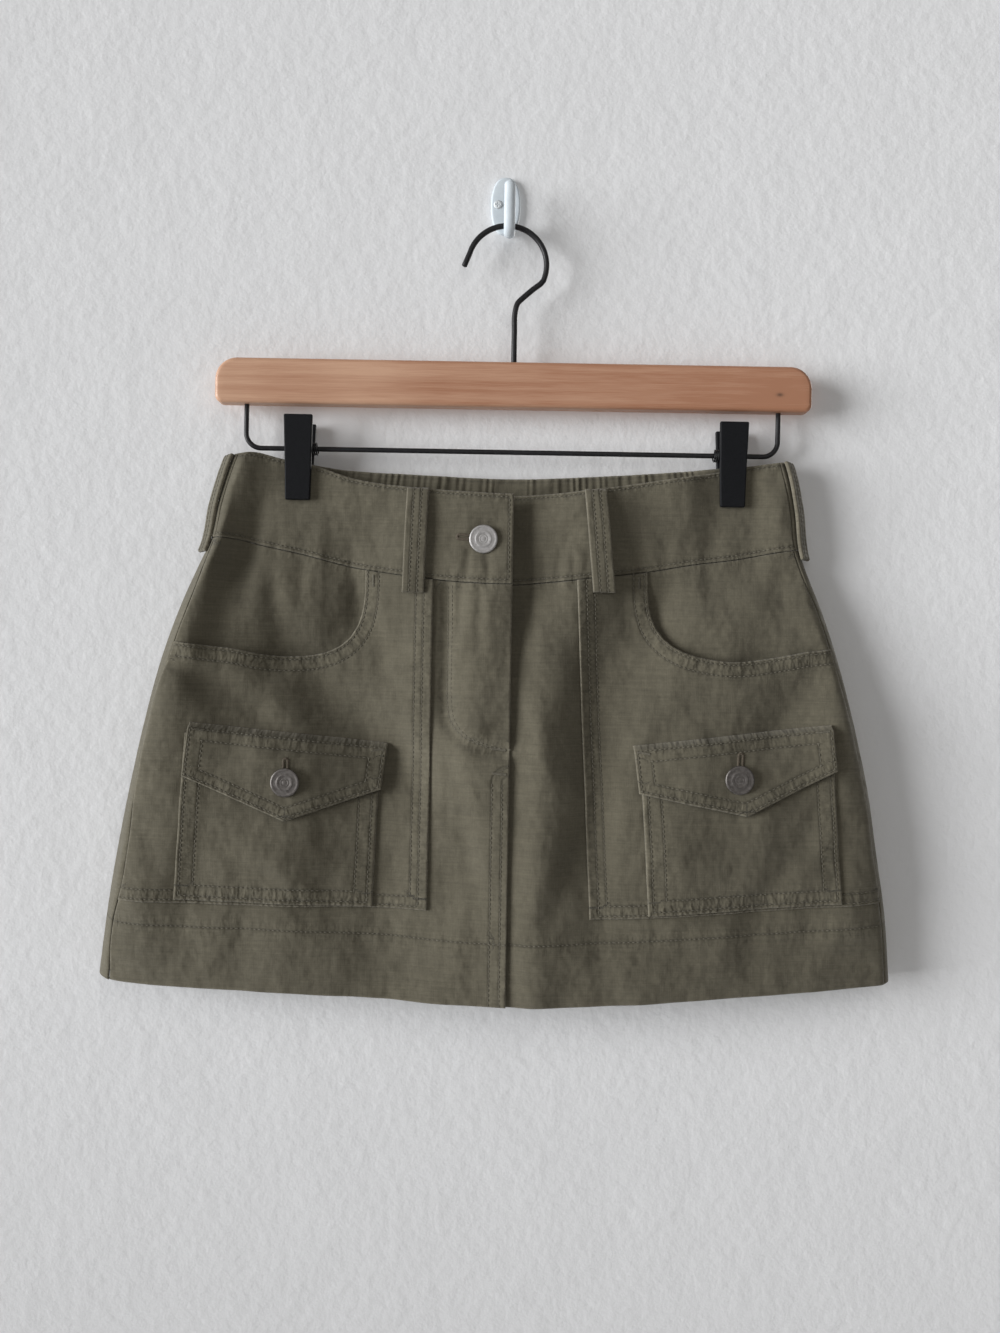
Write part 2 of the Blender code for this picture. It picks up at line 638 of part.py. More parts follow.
def add_back_panel(shop):
    shares, walls = panel_rows()
    add_wrapped(
        shop, "back_panel", shares, walls,
        front_lines=(through(BAND_SEAM_FRONT, -SEAM_GAP), through(HEM_FRONT)),
        back_lines=(through(BAND_SEAM_BACK, -SEAM_GAP), through(HEM_BACK)),
        seams=(right_seam_x, left_seam_x), columns=2 * PANEL_GATHERS, lift=0.0,
        wave=lambda x, z, share: gathers(x, z, PANEL_GATHER_HEIGHT * (1.0 - share) ** 1.5))


def add_back_band(shop):
    add_wrapped(
        shop, "waistband_back", BAND_ROWS, (BAND_WALL,) * len(BAND_ROWS),
        front_lines=(through(BAND_TOP_FRONT), through(BAND_SEAM_FRONT)),
        back_lines=(through(BAND_TOP_BACK), through(BAND_SEAM_BACK)),
        seams=(right_band_seam_x, left_band_seam_x), columns=2 * BACK_GATHERS, lift=BAND_PROUD,
        wave=lambda x, z, share: gathers(x, z, GATHER_HEIGHT))


# Belt loops


def add_strip(shop, name, path, across, wall):
    """A strip of doubled cloth: path holds its inner face's middle line, across its half width."""
    along = np.gradient(path, axis=0)
    normal = np.cross(along, across)
    normal = normal / np.linalg.norm(normal, axis=1, keepdims=True)
    inner = np.stack((path - across, path + across), 0)
    add_cloth(shop, name, inner + normal * wall, inner)


def add_front_loop(shop, side):
    x_top, x_bottom = FRONT_LOOPS[side]
    surface = front_y if side == "right" else lower_lap_y
    share = np.linspace(0.0, 1.0, 9)
    x = x_top + (x_bottom - x_top) * share
    top = curve_through(BAND_TOP_FRONT, x) - 0.6
    bottom = curve_through(BAND_SEAM_FRONT, x) - LOOP_BELOW_SEAM
    z = top + (bottom - top) * share
    nearest = np.min([surface(x + shift, z) for shift in (-LOOP_WIDTH / 2, 0.0, LOOP_WIDTH / 2)], axis=0)
    y = nearest - BAND_PROUD - curve_through(FRONT_LOOP_STANDOFF, share)
    half = np.array((LOOP_WIDTH / 2, 0.0, 0.0))
    add_strip(shop, f"belt_loop_front_{side}", np.stack((x, y, z), -1), half, LOOP_WALL)


def add_back_loop(shop):
    share = np.linspace(0.0, 1.0, 9)
    x = np.full(9, FLAT_PATCH_X)
    top = curve_through(BAND_TOP_BACK, x) - 0.6
    bottom = curve_through(BAND_SEAM_BACK, x) - 2.0
    z = top + (bottom - top) * share
    edges = [back_y(x + shift, z) for shift in (-LOOP_WIDTH / 2, LOOP_WIDTH / 2)]
    y = np.max(edges, axis=0) + BAND_PROUD + curve_through(BACK_LOOP_STANDOFF, share)
    half = np.array((LOOP_WIDTH / 2, 0.0, 0.0))
    add_strip(shop, "belt_loop_back", np.stack((x, y, z), -1), -half, LOOP_WALL)


def add_side_loop(shop, side):
    outward, column, end = (-1.0, 1, -161.0) if side == "right" else (1.0, 2, 170.0)
    offset, rise = np.array(SIDE_LOOP_PATH).T
    z = curve_through(BAND_TOP_FRONT, end) + rise
    x = outline(column, z) + outward * (BAND_PROUD + offset * SIDE_LOOP_REACH[side])
    path = np.stack((x, np.full(len(x), HANGER_Y), z), -1)
    turn = math.radians(SIDE_LOOP_TURN)
    half = LOOP_WIDTH / 2 * np.array((math.sin(turn), outward * math.cos(turn), 0.0))
    add_strip(shop, f"belt_loop_side_{side}", path, half, LOOP_WALL)


# Hard pieces


def add_turned(shop, name, profile, material, location, turn, steps=20):
    """A profile of radius and height turned round its own Z axis."""
    mesh = bpy.data.meshes.new(name)
    points = [(radius * MM, 0.0, height * MM) for radius, height in profile]
    closed = profile[0][0] > 0.0
    edges = [(i, i + 1) for i in range(len(points) - 1)] + ([(len(points) - 1, 0)] if closed else [])
    mesh.from_pydata(points, edges, [])
    thing = shop.add(name, mesh, material, location, turn)
    screw = thing.modifiers.new("turn", "SCREW")
    screw.steps = screw.render_steps = steps
    screw.use_merge_vertices = True
    screw.merge_threshold = 1e-5
    screw.use_smooth_shade = False
    return thing


def add_button(shop, name, place, surface, material):
    """A tack button, with its back just clear of the cloth under its shank."""
    x, z = place
    ring = np.linspace(0.0, 2 * math.pi, 12, endpoint=False)
    under_rim, under_shank = (np.min(surface(x + radius * np.cos(ring), z + radius * np.sin(ring)))
                              for radius in (BUTTON_RADIUS, SHANK_RADIUS))
    y = min(under_rim + RIM_LIFT, under_shank) - SEAM_GAP
    add_turned(shop, name, BUTTON_PROFILE, material, (x, y, z), (90.0, 0.0, 0.0))


def add_buttons(shop):
    def band_y(x, z):
        return front_y(x, z) - BAND_PROUD

    add_button(shop, "waist_button", WAIST_BUTTON, band_y, "pewter")
    for side, place in FLAP_BUTTONS.items():
        add_button(shop, f"flap_button_{side}", place, flap_y(side), "dark_pewter")


def add_flat(shop, name, corners, thickness, edge, material, location, turn):
    """A flat outline with its rim rounded, standing across its thickness."""
    data = bpy.data.curves.new(name, "CURVE")
    data.dimensions = "2D"
    data.fill_mode = "BOTH"
    data.extrude = (thickness / 2 - edge) * MM
    data.bevel_depth = edge * MM
    data.bevel_resolution = 1
    data.offset = -edge * MM
    spline = data.splines.new("POLY")
    spline.points.add(len(corners) - 1)
    for point, (x, y) in zip(spline.points, corners):
        point.co = (x * MM, y * MM, 0.0, 1.0)
    spline.use_cyclic_u = True
    return shop.add(name, data, material, location, turn)


def add_wire(shop, name, path, radius, material):
    """A round wire through a path of points."""
    data = bpy.data.curves.new(name, "CURVE")
    data.dimensions = "3D"
    data.bevel_depth = radius * MM
    data.bevel_resolution = 2
    data.use_fill_caps = True
    spline = data.splines.new("POLY")
    spline.points.add(len(path) - 1)
    for point, place in zip(spline.points, path):
        point.co = (*(value * MM for value in place), 1.0)
    return shop.add(name, data, material)


def arc(centre, radius, start, end, steps):
    """Points of an arc, angles in degrees."""
    angles = np.radians(np.linspace(start, end, steps + 1))
    return [(centre[0] + radius * math.cos(a), centre[1] + radius * math.sin(a)) for a in angles]


def smooth_path(points, steps):
    """A smooth path through a few points, with the same number of steps between each two."""
    points = np.array(points, float)
    places = np.concatenate(([0.0], np.cumsum(np.linalg.norm(np.diff(points, axis=0), axis=1))))
    at = np.concatenate([np.linspace(a, b, steps, endpoint=False) for a, b in zip(places, places[1:])]
                        + [places[-1:]])
    columns = [curve_through(np.stack((places, column), -1), at) for column in points.T]
    return np.stack(columns, -1)


def add_hanger(shop):
    top, bottom = BAR_TOP_CORNER, BAR_BOTTOM_CORNER
    outline_points = (
        arc((BAR_LEFT + top, BAR_TOP - top), top, 180, 90, 6)
        + arc((BAR_RIGHT - top, BAR_TOP - top), top, 90, 0, 6)
        + arc((BAR_RIGHT - bottom, BAR_BOTTOM + bottom), bottom, 0, -90, 3)
        + arc((BAR_LEFT + bottom, BAR_BOTTOM + bottom), bottom, -90, -180, 3))
    add_flat(shop, "hanger_bar", outline_points, BAR_THICKNESS, BAR_EDGE, "beech",
             (0.0, HANGER_Y, 0.0), (90.0, 0.0, 0.0))
    hook = [HOOK_TIP] + arc((0.0, HOOK_CENTRE_Z), HOOK_RADIUS, HOOK_START, HOOK_END, 14)
    stem = smooth_path([hook[-1], *HOOK_STEM, (HOOK_STEM[-1][0], BAR_TOP + SEAM_GAP)], 2)[1:]
    path = [(x, HANGER_Y, z) for x, z in hook + stem.tolist()]
    add_wire(shop, "hanger_hook_wire", path, WIRE_RADIUS, "black_steel")
    corner = RAIL_CORNER
    rail = ([(RAIL_LEFT, BAR_BOTTOM - SEAM_GAP)]
            + arc((RAIL_LEFT + corner, RAIL_Z + corner), corner, 180, 270, 5)
            + arc((RAIL_RIGHT - corner, RAIL_Z + corner), corner, 270, 360, 5)
            + [(RAIL_RIGHT, BAR_BOTTOM - SEAM_GAP)])
    add_wire(shop, "clip_rail", [(x, HANGER_Y, z) for x, z in rail], RAIL_RADIUS, "black_steel")


def add_jaw(shop, name, x, profile, facing):
    """One side of a clip: its side view, made as wide as it is at each height, with its edges broken."""
    depth, z = np.array(profile).T
    half = np.interp(z, (CLIP_BOTTOM_Z, CLIP_TOP_Z), (CLIP_WIDTH / 2, CLIP_TOP_WIDTH / 2))
    count = len(profile)
    sides = [np.stack((end * half, facing * depth, z), -1) for end in (-1.0, 1.0)]
    faces = [[i, (i + 1) % count, count + (i + 1) % count, count + i] for i in range(count)]
    faces += [list(range(count))[::-1], list(range(count, 2 * count))]
    mesh = bpy.data.meshes.new(name)
    mesh.from_pydata((np.concatenate(sides) * MM).tolist(), [], faces)
    close_outward(mesh)
    thing = shop.add(name, mesh, "black_plastic", (x, HANGER_Y, 0.0))
    bevel = thing.modifiers.new("broken_edges", "BEVEL")
    bevel.width = JAW_EDGE * MM
    bevel.segments = 1
    bevel.limit_method = "ANGLE"
    bevel.angle_limit = math.radians(40.0)


def add_clips(shop):
    bore = RAIL_RADIUS + SEAM_GAP
    half = BARREL_LENGTH / 2
    barrel = ((BARREL_RADIUS, half), (BARREL_RADIUS, -half), (bore, -half), (bore, half))
    back_jaw = [(depth, z - BACK_JAW_TOP_DROP * (z == CLIP_TOP_Z)) for depth, z in JAW]
    for side, x in zip(("right", "left"), CLIP_X):
        add_jaw(shop, f"clip_front_jaw_{side}", x, JAW, -1.0)
        add_jaw(shop, f"clip_back_jaw_{side}", x, back_jaw, 1.0)
        add_turned(shop, f"clip_barrel_{side}", barrel, "black_plastic", (x, HANGER_Y, RAIL_Z),
                   (0.0, 90.0, 0.0), 12)


def add_wall_hook(shop):
    ring = np.linspace(0.0, 2 * math.pi, 24, endpoint=False)
    corners = [(PLATE_WIDTH / 2 * math.copysign(abs(math.cos(a)) ** 0.8, math.cos(a)),
                PLATE_HEIGHT / 2 * math.copysign(abs(math.sin(a)) ** 0.9, math.sin(a))) for a in ring]
    add_flat(shop, "wall_hook_plate", corners, PLATE_THICKNESS, 0.8, "white_plastic",
             (PLATE_X, -PLATE_THICKNESS / 2, PLATE_Z), (90.0, 0.0, 0.0))
    path = [(ARM_X, y, z) for y, z in smooth_path(ARM_PATH, 2)]
    add_wire(shop, "wall_hook_arm", path, ARM_RADIUS, "white_plastic")
    screw = ((0.0, 1.1), (1.4, 1.0), (SCREW_RADIUS, 0.3), (SCREW_RADIUS, 0.0), (0.0, 0.0))
    add_turned(shop, "wall_hook_screw", screw, "steel",
               (SCREW_X, -PLATE_THICKNESS - SEAM_GAP, SCREW_Z), (90.0, 0.0, 0.0), 12)


def main():
    shop = Workshop()
    add_front_panels(shop)
    add_front_band(shop)
    add_back_panel(shop)
    add_back_band(shop)
    for side in ("right", "left"):
        add_utility_panel(shop, side)
        add_pocket(shop, side)
        add_flap(shop, side)
        add_front_loop(shop, side)
        add_side_loop(shop, side)
    add_back_loop(shop)
    add_buttons(shop)
    add_hanger(shop)
    add_clips(shop)
    add_wall_hook(shop)


main()
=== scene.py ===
"""Looks of the cargo utility skirt on its clip hanger: cloth with creases and sewing, hanger, wall hook.

Surfaces are drawn in the hanger's frame in millimetres, as in the part's construction: x and z are an
elevation seen by the viewer and a function gives the depth y of each layer there. Points are moved to the
row frame in metres when a mesh is made, so every piece sits at the origin with its place in its mesh.
"""

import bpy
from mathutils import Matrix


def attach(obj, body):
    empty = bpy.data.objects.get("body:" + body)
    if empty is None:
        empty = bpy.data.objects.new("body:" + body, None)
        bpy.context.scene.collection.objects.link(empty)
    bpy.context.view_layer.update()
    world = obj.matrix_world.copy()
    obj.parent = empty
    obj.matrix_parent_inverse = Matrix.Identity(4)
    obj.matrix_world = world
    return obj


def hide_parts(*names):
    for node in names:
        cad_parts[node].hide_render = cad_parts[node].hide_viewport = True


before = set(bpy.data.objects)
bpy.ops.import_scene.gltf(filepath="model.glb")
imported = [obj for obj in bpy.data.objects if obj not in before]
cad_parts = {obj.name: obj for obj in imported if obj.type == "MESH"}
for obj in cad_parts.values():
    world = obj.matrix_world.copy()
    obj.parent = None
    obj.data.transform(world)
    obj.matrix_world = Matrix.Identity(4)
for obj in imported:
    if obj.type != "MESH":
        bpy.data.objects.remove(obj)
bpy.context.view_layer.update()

import math

import bpy
import numpy as np
from mathutils import Vector

MM = 0.001
SEAT = np.array((1.6, 0.0, -16.5))
SEAM_GAP = 0.3
HANGER_Y = -12.0
INWARD = {"right": 1.0, "left": -1.0}  # way to the middle from the wearer's right and left
# a height to start a search from, its rounds, steps between a path's points, points measured at once
MIDDLE_Z, GRID_ROUNDS, PATH_STEPS, POINTS_AT_ONCE = -250.0, 8, 8, 4000
TINY, FAR = 1e-9, 1e3

PANEL_WALL, HEM_WALL, HEM_SHARE, BAND_WALL, BAND_PROUD = 1.5, 2.3, 0.855, 2.4, 0.6
OVERLAY_WALL, OVERLAY_GAP = 1.3, 0.9
OVERLAY_LIFT = OVERLAY_WALL + OVERLAY_GAP
FLAP_WALL = OVERLAY_WALL + 0.3
# how much nearer to the cloth below an inner face comes at a sewn edge, and how far from it
SEWN_DOWN, SEWN_REACH = 0.75, 3.0
HEM_TURNING, TOPSTITCHED_BELOW = 36.0, -330.0
# flat rectangles of the cloth pieces, width and height
DECLARED = {
    "front_panel": (260.0, 262.0), "utility_panel": (190.0, 205.0), "cargo_pocket": (122.0, 104.0),
    "pocket_flap": (120.0, 62.0), "waistband_front": (200.0, 80.0), "back_panel": (560.0, 275.0),
    "waistband_back": (560.0, 60.0)}

# height, left fold, right fold, radius of the side fold, bulge of the front, bulge of the back
OUTLINE = np.array((
    (-137, -161.5, 168.0, 4.2, 8.0, 2.0), (-152, -166.5, 172.0, 4.4, 9.0, 2.4),
    (-168, -171.0, 175.0, 4.6, 10.0, 2.6), (-193, -176.0, 178.5, 5.0, 12.0, 2.8),
    (-204, -181.0, 182.5, 5.2, 13.0, 2.8), (-227, -191.0, 192.0, 5.6, 15.0, 2.6),
    (-263, -203.5, 204.0, 6.2, 18.0, 2.4), (-299, -212.5, 213.5, 6.8, 21.0, 2.2),
    (-335, -220.0, 221.5, 7.2, 23.0, 2.0), (-371, -226.5, 227.0, 7.6, 24.5, 1.8),
    (-407, -232.0, 232.5, 7.8, 25.5, 1.6), (-451, -237.0, 236.0, 8.0, 26.5, 1.4)), float)
UP_OUTLINE = OUTLINE[::-1]
LEFT, RIGHT, FOLD_RADIUS, FRONT_BULGE, BACK_BULGE = 1, 2, 3, 4, 5  # its columns
SAG_AT_WAIST, SAG_AT_HEM = 20.0, 9.0
BAND_TOP_FRONT = ((-161, -139), (-148, -138), (-134, -141), (-112, -145.5), (-90, -152.5), (-60, -157),
                  (-30, -159.5), (6, -161), (30, -160), (60, -156.5), (88, -152), (116, -147.5),
                  (140, -142.5), (158, -139.5), (170, -138))
BAND_SEAM_FRONT = ((-174, -189), (-157, -190), (-142, -193.5), (-120, -198), (-90, -205), (-59, -210),
                   (-25, -213.5), (6, -214.5), (26, -213), (46, -211), (86, -205.5), (118, -200),
                   (140, -197), (158, -193.5), (180, -190))
HEM_FRONT = ((-237, -450.5), (-228, -452), (-200, -453.5), (-124, -455), (-80, -456.5), (-37, -458.5),
             (6, -459), (35, -458.5), (78, -457), (122, -454.5), (168, -452), (200, -450), (236, -447.5))
BAND_TOP_BACK = ((-161, -139), (-134, -141), (-104, -145.5), (-47, -148.5), (4, -150), (58, -147.5),
                 (106, -144), (140, -141), (170, -138))
BAND_SEAM_BACK = ((-174, -189), (-134, -193), (-104, -197.5), (-47, -201.5), (4, -203), (58, -201.5),
                  (106, -197), (140, -193), (180, -190))
HEM_BACK = ((-237, -450.5), (-120, -452), (0, -453), (120, -450.5), (236, -447.5))
WRAP_RIGHT = ((-451, 9.0), (-415, 8.5), (-399, 11.0), (-330, 8.0), (-287, 6.5), (-251, 9.0),
              (-225, 7.5), (-193, 3.5))
WRAP_LEFT, WRAP_BAND = 4.5, 4.0
CLIP_X = (-122.5, 136.5)
CLIP_WIDTH, CLIP_TOP_WIDTH, CLIP_TOP_Z, CLIP_BOTTOM_Z = 14.8, 17.2, -115.5, -166.0
GRIP_MARGIN, PINCH_RELEASE, PINCH_SPREAD, PINCH_WIDENING, GRIPPED_HALF = 1.0, 85.0, 20.0, 20.0, 2.7
FOLD_FADE, SIDE_FADE = 2.0, 9.0
# x and z of the upper end, x and z of the lower end, half width, height; a trough's height is negative
FRONT_FOLDS = (
    (-156, -150, -172, -196, 9, 4.0), (-172, -196, -182, -262, 9, 3.5), (-143, -176, -158, -205, 10, -3.6),
    (-158, -205, -170, -245, 12, -4.0), (-96, -205, -84, -232, 10, -2.0), (-118, -268, -66, -316, 17, -6.0),
    (-184, -266, -136, -299, 9, -3.6), (-30, -222, -34, -290, 11, -2.0), (-14, -225, -16, -300, 15, 2.5),
    (56, -262, 57, -372, 15, -3.0), (26, -318, 23, -440, 15, 3.5), (74, -225, 50, -300, 17, -2.0),
    (193, -262, 160, -300, 18, -2.4), (-40, -340, -20, -400, 14, -2.0), (-190, -262, -208, -392, 27, 12.0),
    (-84, -256, -70, -372, 46, -17.0), (84, -215, 78, -275, 27, -8.0), (57, -300, 58, -398, 14, -4.5),
    (195, -250, 212, -400, 20, 6.0))
CREASE_STRENGTH, WAVE_HEIGHT = 1.7, 0.3
# rate along x, rate along z and phase of the waves in hung canvas
WAVES = ((0.11, 0.03, 0.3), (0.05, 0.12, 1.9), (-0.09, 0.07, 4.0), (0.17, -0.05, 2.6), (0.02, 0.2, 5.1))
# finer creases over the large folds, in the same form
CREASES = (
    (-182, -270, -160, -297, 7, -0.7), (-60, -290, -61, -319, 8, -0.8), (-199, -367, -199, -401, 6, -0.6),
    (-24, -330, -15, -370, 5, -0.8), (-29, -324, -29, -353, 4, -0.6), (-22, -358, -15, -387, 5, -0.7),
    (53, -357, 31, -408, 8, -0.8), (108, -200, 81, -246, 9, -0.6), (182, -268, 165, -294, 8, -0.8),
    (192, -337, 164, -384, 7, -0.7), (118, -373, 152, -373, 6, -0.5), (-147, -417, -147, -441, 9, -0.8),
    (-213, -424, -213, -445, 8, -0.8), (149, -415, 150, -438, 9, -0.7), (-60, -428, -62, -452, 8, -0.6),
    (60, -424, 66, -450, 9, -0.6), (-147, -178, -153, -222, 5.5, -1.1), (-133, -180, -137, -219, 4.4, -0.9),
    (-119, -184, -121, -223, 4.2, -0.8), (-104, -191, -104, -226, 4.0, -0.7),
    (-90, -196, -88, -224, 3.6, -0.6), (-140, -206, -132, -250, 7, -1.0), (70, -205, 74, -232, 5, -0.8),
    (128, -172, 124, -204, 5, -0.9), (147, -170, 151, -206, 5, -0.9),
    (-20, -198, -21, -213, 2.4, -0.7), (-9, -199, -8, -213, 2.4, -0.7), (-24, -216, -25, -240, 2.8, -0.8),
    (-12, -216, -13, -250, 3.4, -0.8), (24, -200, 25, -214, 2.4, -0.5), (34, -198, 33, -213, 2.4, -0.5),
    (16, -216, 18, -240, 3.2, -0.6), (42, -200, 43, -213, 2.4, -0.6),
    (50, -196, 50, -212, 2.4, -0.5), (82, -194, 84, -214, 4, -0.5), (96, -191, 97, -212, 4, -0.5),
    (110, -188, 111, -208, 4, -0.4), (-98, -396, -94, -420, 7, -0.5), (20, -290, 30, -330, 6, 0.6),
    (-120, -225, -96, -262, 9, 0.6), (150, -215, 170, -252, 9, 0.6), (-75, -230, -70, -262, 5, -0.5),
    (-146, -366, -112, -394, 8, 0.5), (112, -360, 150, -352, 6, 0.5), (-150, -318, -148, -345, 6, -0.4))
FRONT_EDGE_X, LAP_STEP, LAP_RISE, LAP_WIDE_RISE = 6.3, 3.0, 18.0, 50.0
# height, width hidden behind the right front's edge, how far it stands back there
LAP = np.array(((-460, 7, 0.0), (-345, 7, 0.0), (-322, 8, 0.4), (-300, 26, 0.8), (-258, 32, 2.2),
                (-214, 32, 8.0), (-138, 34, 8.0)), float)
FLY_LINE = np.array(((-31.7, -216.0), (-31.3, -240.0), (-31.1, -262.0), (-30.8, -284.0), (-29.0, -295.0),
                     (-22.7, -303.3), (-11.0, -308.9), (0.6, -311.6), (5.0, -312.0)))
BACK_GATHERS, GATHER_HEIGHT, PANEL_GATHERS, PANEL_GATHER_HEIGHT = 74, 0.4, 30, 1.3
PANEL_STATIONS, BAND_STATIONS, FOLD_STATIONS = 301, 705, 14
FLAT_PATCH_X, FLAT_PATCH_HALF, PATCH_FADE = 4.0, 8.5, 3.0
UTILITY_INNER = {"right": ((-406, -40.3), (-214, -40.5)), "left": ((-408.5, 54.0), (-211, 44.2))}
UTILITY_BOTTOM = {"right": ((-221, -403), (-128, -405), (-40, -406)),
                  "left": ((54, -408.5), (140, -404), (229, -398.5))}
MOUTH_START = {"right": -81.7, "left": 86.8}
MOUTH_DROP = {"right": 66.5, "left": 63.5}
MOUTH_WIDTH, MOUTH_SIDE_RISE, MOUTH_CORNER, MOUTH_STEEP = 108.0, 4.0, 3.2, 5.0
MOUTH_SINK, MOUTH_SINK_REACH = 3.2, 13.0
MOUTH_FADE_BELOW_BAND, MOUTH_FADE_AT_SEAM = 22.0, 16.0
FLY_SINK, FLY_REACH = 2.8, 4.0
FULL_ROW = HEM_SHARE * 4 / 12  # share of the way down at which the scoop's lines end
# corners: outer top, inner top, inner bottom, the flap's point, outer bottom
FLAP = {
    "right": ((-180.0, -298.6), (-66.0, -309.9), (-68.9, -336.7), (-123.6, -355.0), (-183.0, -329.5)),
    "left": ((194.3, -294.2), (78.0, -308.0), (81.2, -335.2), (143.9, -347.4), (197.0, -320.8))}
POCKET = {
    "right": ((-182.5, -304.6), (-70.0, -315.9), (-72.5, -405.0), (-187.2, -401.5)),
    "left": ((194.5, -300.3), (82.0, -314.0), (87.5, -405.5), (201.6, -398.6))}
POCKET_SWELL, FLAP_SWELL, FLAP_TUCK = 3.4, 1.5, 0.13
LOOP_WIDTH, LOOP_WALL, LOOP_BELOW_SEAM, LOOP_SEAM = 13.0, 2.2, 9.5, 4.2
LOOP_CUT_WIDTH, LOOP_CUT_SPARE = 14.0, 4.0
# x of a front loop's upper and lower end
FRONT_LOOPS = {"right": (-50.4, -52.4), "left": (54.5, 60.2)}
# share of the way down, distance from the band
FRONT_LOOP_STANDOFF = ((0.0, 0.3), (0.2, 1.6), (0.5, 2.8), (0.8, 2.6), (1.0, 2.0))
BACK_LOOP_STANDOFF = ((0.0, 0.3), (0.5, 1.3), (1.0, 0.3))
# out from the band and up from its top
SIDE_LOOP_PATH = ((1.6, -0.8), (4.6, -2.2), (5.9, -7.0), (5.6, -16.0), (5.4, -26.0), (4.8, -38.0),
                  (4.2, -47.0), (3.2, -53.0), (1.45, -58.5))
SIDE_LOOP_REACH = {"right": 0.1, "left": 0.15}
SIDE_LOOP_NEAR, SIDE_LOOP_TURN = 0.7, 30.0
BUTTON_RADIUS, SHANK_RADIUS, RIM_LIFT = 8.4, 3.0, 1.1
WAIST_BUTTON = (-11.2, -188.5)
FLAP_BUTTONS = {"right": (-123.4, -332.5), "left": (139.0, -326.3)}
WAIST_HOLE = ((-9.0, -187.9), (-25.6, -187.2))
FLAP_HOLES = {"right": ((-123.4, -336.0), (-123.5, -320.2)), "left": ((139.2, -330.0), (140.0, -312.4))}
BAR_LEFT, BAR_RIGHT, BAR_TOP, BAR_BOTTOM, BAR_THICKNESS = -173.0, 183.0, -81.5, -108.5, 12.0
BAR_TOP_CORNER, BAR_BOTTOM_CORNER = 13.0, 4.5
WIRE_RADIUS, HOOK_RADIUS, HOOK_CENTRE_Z, HOOK_START, HOOK_END = 1.7, 23.6, -22.4, 163.0, -22.0
HOOK_TIP = (-25.7, -23.0)
HOOK_STEM = ((15.8, -36.6), (10.4, -41.3), (6.6, -45.2), (5.2, -50.5), (5.0, -62.0))
RAIL_RADIUS, RAIL_LEFT, RAIL_RIGHT, RAIL_Z, RAIL_CORNER = 1.5, -154.7, 164.0, -134.7, 9.0
BARREL_RADIUS, BARREL_LENGTH, BACK_JAW_TOP_DROP = 4.2, 13.0, 3.0
JAW = ((3.7, CLIP_BOTTOM_Z), (3.7, -147.0), (4.6, -134.0), (6.2, CLIP_TOP_Z), (9.6, CLIP_TOP_Z),
       (8.2, -134.0), (7.1, -147.0), (7.1, CLIP_BOTTOM_Z))
PLATE_WIDTH, PLATE_HEIGHT, PLATE_THICKNESS = 18.0, 35.0, 3.0
ARM_RADIUS, ARM_X, ARM_WIDENING = 2.6, 0.9, 1.3
# y and z
ARM_PATH = ((-3.4, 1.6), (-4.6, 1.6), (-8.2, -2.0), (-12.0, -3.5), (-15.6, -2.0), (-17.4, 2.2),
            (-17.6, 9.0), (-17.2, 17.0), (-17.4, 21.0), (-17.8, 24.0))
SCREW = (-6.3, 17.2)

ROLL = (0.1, 0.3, 0.6, 1.0, 1.6, 2.4, 3.4)  # close steps from an edge that is rolled over
SEAM_STEPS = (0.3, 0.8, 1.5)  # close steps from an edge that is seamed to another piece
NO_SEAM, WEAR_REACH = 20.0, 0.75
STITCH_PITCH, STITCH_SHARE, FIRST_STITCH, TACK_PITCH, TACK_LENGTH = 2.7, 0.74, 0.13, 0.5, 6.5
HOLE_HALF, HOLE_PITCH, CORNER_SPARE = 2.1, 0.42, 0.4
SEAM_LIFT, TACK_LIFT, HOLE_LIFT = 0.12, 0.2, 0.3  # of a thread's middle over the cloth
THREAD_RADIUS, THREAD_SIDES = 0.27, 5
# along a stitch: its rings' places, their share of the radius, and how far they dip into the cloth
THREAD_PLACES, THREAD_SWELL, THREAD_DIP = (np.array(values) for values in (
    (0.0, 0.22, 0.78, 1.0), (0.55, 1.0, 1.0, 0.55), (-0.24, 0.0, 0.0, -0.24)))
# the stage and the camera, in metres
WALL_Y, FLOOR_Z, STAGE_HALF, STAGE_TOP, STAGE_FRONT = 0.0004, -0.9, 2.2, 1.6, -2.6
CAMERA_PLACE, CAMERA_ROLL, CAMERA_HALF_WIDTH, CAMERA_DISTANCE = (0.0014, -0.757, -0.2797), -1.0, 0.3, 0.745
LAMPS_AIM, WARM = (0.0, 0.0, -0.3), (1.0, 0.975, 0.94)


def curve_through(rows, at):
    """A smooth curve through rows of (place, value), read at any place and level past both ends."""
    places, values = np.asarray(rows, float).T
    slopes = np.gradient(values, places)
    at = np.clip(at, places[0], places[-1])
    index = np.clip(np.searchsorted(places, at) - 1, 0, len(places) - 2)
    span = places[index + 1] - places[index]
    share = (at - places[index]) / span
    rise = values[index + 1] - values[index]
    start, end = slopes[index] * span, slopes[index + 1] * span
    bend = 3 * rise - 2 * start - end + share * (start + end - 2 * rise)
    return values[index] + share * (start + share * bend)


def smoothstep(value):
    value = np.clip(value, 0.0, 1.0)
    return value * value * (3.0 - 2.0 * value)


def unit(vectors):
    return vectors / np.linalg.norm(vectors, axis=-1, keepdims=True)


def run_along(line):
    """Distance run along a line of points."""
    return np.concatenate(([0.0], np.cumsum(np.linalg.norm(np.diff(line, axis=0), axis=1))))


def read_along(line, run, at):
    """Rows of a line read at distances along it."""
    return np.stack([np.interp(at, run, column) for column in line.T], -1)


def turns(sides):
    """Angles of even steps round a circle."""
    return np.linspace(0.0, 2 * math.pi, sides, endpoint=False)


def outline(column, level):
    return curve_through(UP_OUTLINE[:, (0, column)], level)


